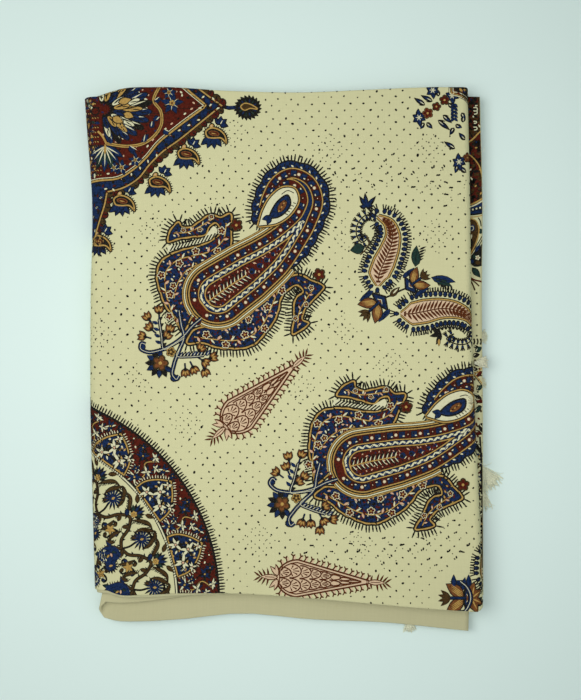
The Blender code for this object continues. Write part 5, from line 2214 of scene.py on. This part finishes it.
def makeStudio():
    half = studio["half"]
    corners = [(-half, -half, 0), (half, -half, 0), (half, half, 0), (-half, half, 0)]
    floor = newObject("floor", corners, [(0, 1, 2, 3)])
    pale, _, shader = newMaterial("paleFloor")
    shader.inputs["Base Color"].default_value = studio["floor"]
    shader.inputs["Roughness"].default_value = 0.9
    floor.data.materials.append(pale)
    for name, lamp in lamps.items():
        areaLight(name, **lamp)
    lamp = bpy.data.lights.new("pool", "SPOT")
    lamp.energy = pool["power"]
    lamp.spot_size = math.radians(pool["angle"])
    lamp.spot_blend = 1.0
    lamp.shadow_soft_size = pool["soft"]
    inScene("pool", lamp).location = (0.0, 0.0, pool["height"])
    world = bpy.data.worlds.new("studio")
    world.use_nodes = True
    world.node_tree.nodes["Background"].inputs["Color"].default_value = studio["room"]
    world.node_tree.nodes["Background"].inputs["Strength"].default_value = studio["roomLight"]
    bpy.context.scene.world = world
    bpy.context.scene.view_settings.view_transform = "Standard"


# Where the blocks go on the top: x, y and a turn in degrees
motifPlaces = {
    "boteh": ((-80, 11.5, 0), (24.6, -110.5, -23)),
    "tree": ((-47.7, -62.5, 41.7), (-6, -181.9, -3)),
    "medallion": ((-218, -200, 0),),
}


def topPrint():
    motifs = []
    for name, block in (("boteh", largeBoteh()), ("tree", cypress()), ("medallion", roundMedallion())):
        for place in motifPlaces[name]:
            stamp(motifs, block, *place)
    motifs += cornerMedallion() + rightSpray() + farRightSpray() + nearRightSpray()
    clear = []
    for name in ("boteh", "tree"):
        for place in motifPlaces[name]:
            zone = []
            stamp(zone, [("", 0, np.array(clearings[name], float), None)], *place)
            clear.append(zone[0][2])
    clear += [np.array(zone, float) for zone in clearings["places"]]
    clear.append(circle(medallion["radius"] + 5) + motifPlaces["medallion"][0][:2])
    return motifs + clearOf(groundDots(-200, 170, -215, 214), clear)


# Where the ground dots are left out, round the motifs
clearings = {
    "boteh": (
        (-6, -2), (-24, 22), (-28, 50), (-20, 68), (-20, 84), (-6, 98), (10, 98), (26, 104), (44, 102),
        (46, 84), (54, 80), (52, 100), (60, 124), (80, 140), (104, 138), (118, 118), (112, 92), (96, 62),
        (116, 52), (118, 36), (104, 8), (86, -6), (74, -4), (60, -18), (30, -20), (24, -34), (-10, -42),
        (-30, -34), (-42, -14), (-34, 18), (-16, 18),
    ),
    "tree": (
        (-20, -6), (-6, -14), (8, -20), (24, -20), (50, -14), (76, -8), (98, -4), (98, 4), (76, 8),
        (50, 14), (24, 20), (8, 20), (-6, 14), (-20, 6),
    ),
    "places": (
        (
            (-260, 80), (-150, 80), (-128, 106), (-92, 124), (-70, 148), (-45, 164), (-44, 184), (-16, 184),
            (-16, 206), (-50, 226), (-260, 226),
        ),
        ((64, 42), (58, 60), (72, 78), (50, 88), (52, 112), (60, 128), (76, 120), (98, 110), (104, 80),
         (120, 76), (146, 60), (170, 34), (170, 0), (120, 4), (100, 14), (70, 14), (50, 22), (48, 40)),
        ((102, 216), (100, 184), (112, 176), (134, 174), (134, 142), (170, 138), (170, 216)),
        ((118, -194), (130, -180), (144, -162), (170, -150), (170, -215), (118, -215)),
    ),
}


# The longest edge that a film may have at a point, so that it keeps to the cloth's curve
longestEdge = {
    "pleat": 0.8, "roll": 1.4, "spine": 2.4, "crease": 3.2, "flat": 9.0, "strip": 5.0, "stripPleat": 0.65
}


def stripEdgeLength(where):
    return np.where(where[..., 1] > 201.5, longestEdge["stripPleat"], longestEdge["strip"])


def topEdgeLength(where):
    s, t = where[..., 0], where[..., 1]
    overRoll = s > rollCentre(t) - 1.5
    overSpine = s < spineCentre(t) + 1.5
    bend = np.sqrt(0.016 / np.maximum(creaseSum(s, t, 2), 1e-5))
    longest = np.clip(bend, longestEdge["crease"], longestEdge["flat"])
    longest = np.where(overRoll, longestEdge["roll"], np.where(overSpine, longestEdge["spine"], longest))
    return np.where(t > farY["top"](acrossTop(s, t)) - 0.5, longestEdge["pleat"], longest)


# The same for the third ply, which shows as a strip beside the rolled fold
def onThirdFace(s, t, lift):
    far = farY["third"](acrossThird(s, t))
    proud = pile["cloth"] / 2 + lift
    turn = np.clip((t - far) / (pitch / 2 + proud), 0.0, pi)
    y = np.minimum(t, far) + (pitch / 2 + proud) * np.sin(turn)
    z = pile["middle"] - 0.5 * pitch + proud - (pitch / 2 + proud) * (1 - np.cos(turn))
    return np.stack([s, y, settled(s, y, z)], axis=1)


def acrossThird(s, t):
    return np.clip((s - spineCentre(t)) / (sideX["third"](t) - spineCentre(t)), 0.0, 1.0)


# Where the films stop: short of the hem, round the far pleat and the rolled fold, and under the pile
filmEnds = {"hem": 0.2, "pleat": 3.3, "roll": 15.0, "left": -194.0}
stripEnds = {"side": 0.4, "pleat": 3.0, "left": 140.0}
topLimits = [
    lambda p: p[:, 1] - nearY["hem"](acrossTop(p[:, 0], p[:, 1])) - filmEnds["hem"],
    lambda p: farY["top"](acrossTop(p[:, 0], p[:, 1])) + filmEnds["pleat"] - p[:, 1],
    lambda p: rollCentre(p[:, 1]) + filmEnds["roll"] - p[:, 0],
    lambda p: p[:, 0] - filmEnds["left"],
]
stripLimits = [
    lambda p: sideX["third"](p[:, 1]) - stripEnds["side"] - p[:, 0],
    lambda p: farY["third"](acrossThird(p[:, 0], p[:, 1])) + stripEnds["pleat"] - p[:, 1],
    lambda p: p[:, 0] - stripEnds["left"],
]

groups = {"weave": weaveGroup(), "ink": inkGroup(), "age": ageGroup(), "folds": foldPrintGroup()}
sheet = makeSheet()
for name, colour, foldPrint in (("printedCalico", "calico", True), ("calicoReverse", "reverse", False)):
    face = clothMaterial(name, clothColours[colour], groups, clothColours["stain"], foldPrint)
    sheet.data.materials.append(face)
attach(sheet, "root")
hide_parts("cloth")

laid = layPrint(topPrint(), "top", onTopFace, topLimits, topEdgeLength)
strip = layPrint(rightStripPrint(), "strip", onThirdFace, stripLimits, stripEdgeLength)
for ink in inkRank:
    parts = [made[ink] for made in (laid, strip) if ink in made]
    piece = inkObject(ink + "Ink", parts)
    piece.data.materials.append(inkMaterial(ink + "Ink", inks[ink], groups))
    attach(piece, "root")

cotton = yarnMaterial("tasselCotton", (0.86, 0.87, 0.67, 1.0))
# A darker copy of the tassel cotton for the strip tassel: painted shade, so that where it lies up on the
# strip and the lamps light it from above it looks as dim as in shade
stripCottonPaintedShade = yarnMaterial("stripCottonPaintedShade", (0.72, 0.71, 0.54, 1.0))
stripLevel = float(settled(155.6, -11.5, pile["middle"] - pitch / 2 + 0.5)) + 0.3
for name, level, node in (
    ("sideFringe", 0.0, "side_fringe"), ("stripTassel", stripLevel, "strip_tassel"),
    ("endTassel", 0.0, "end_tassel"),
):
    piece = makeTassels(name, tassels[name], level)
    # The strip tassel takes the darker copy of the cotton with its painted shade, the others the tassel
    # cotton
    piece.data.materials.append(stripCottonPaintedShade if name == "stripTassel" else cotton)
    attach(piece, "root")
    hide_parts(node)
strays = makeStrays()
strays.data.materials.append(cotton)
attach(strays, "root")
makeCamera()
makeStudio()
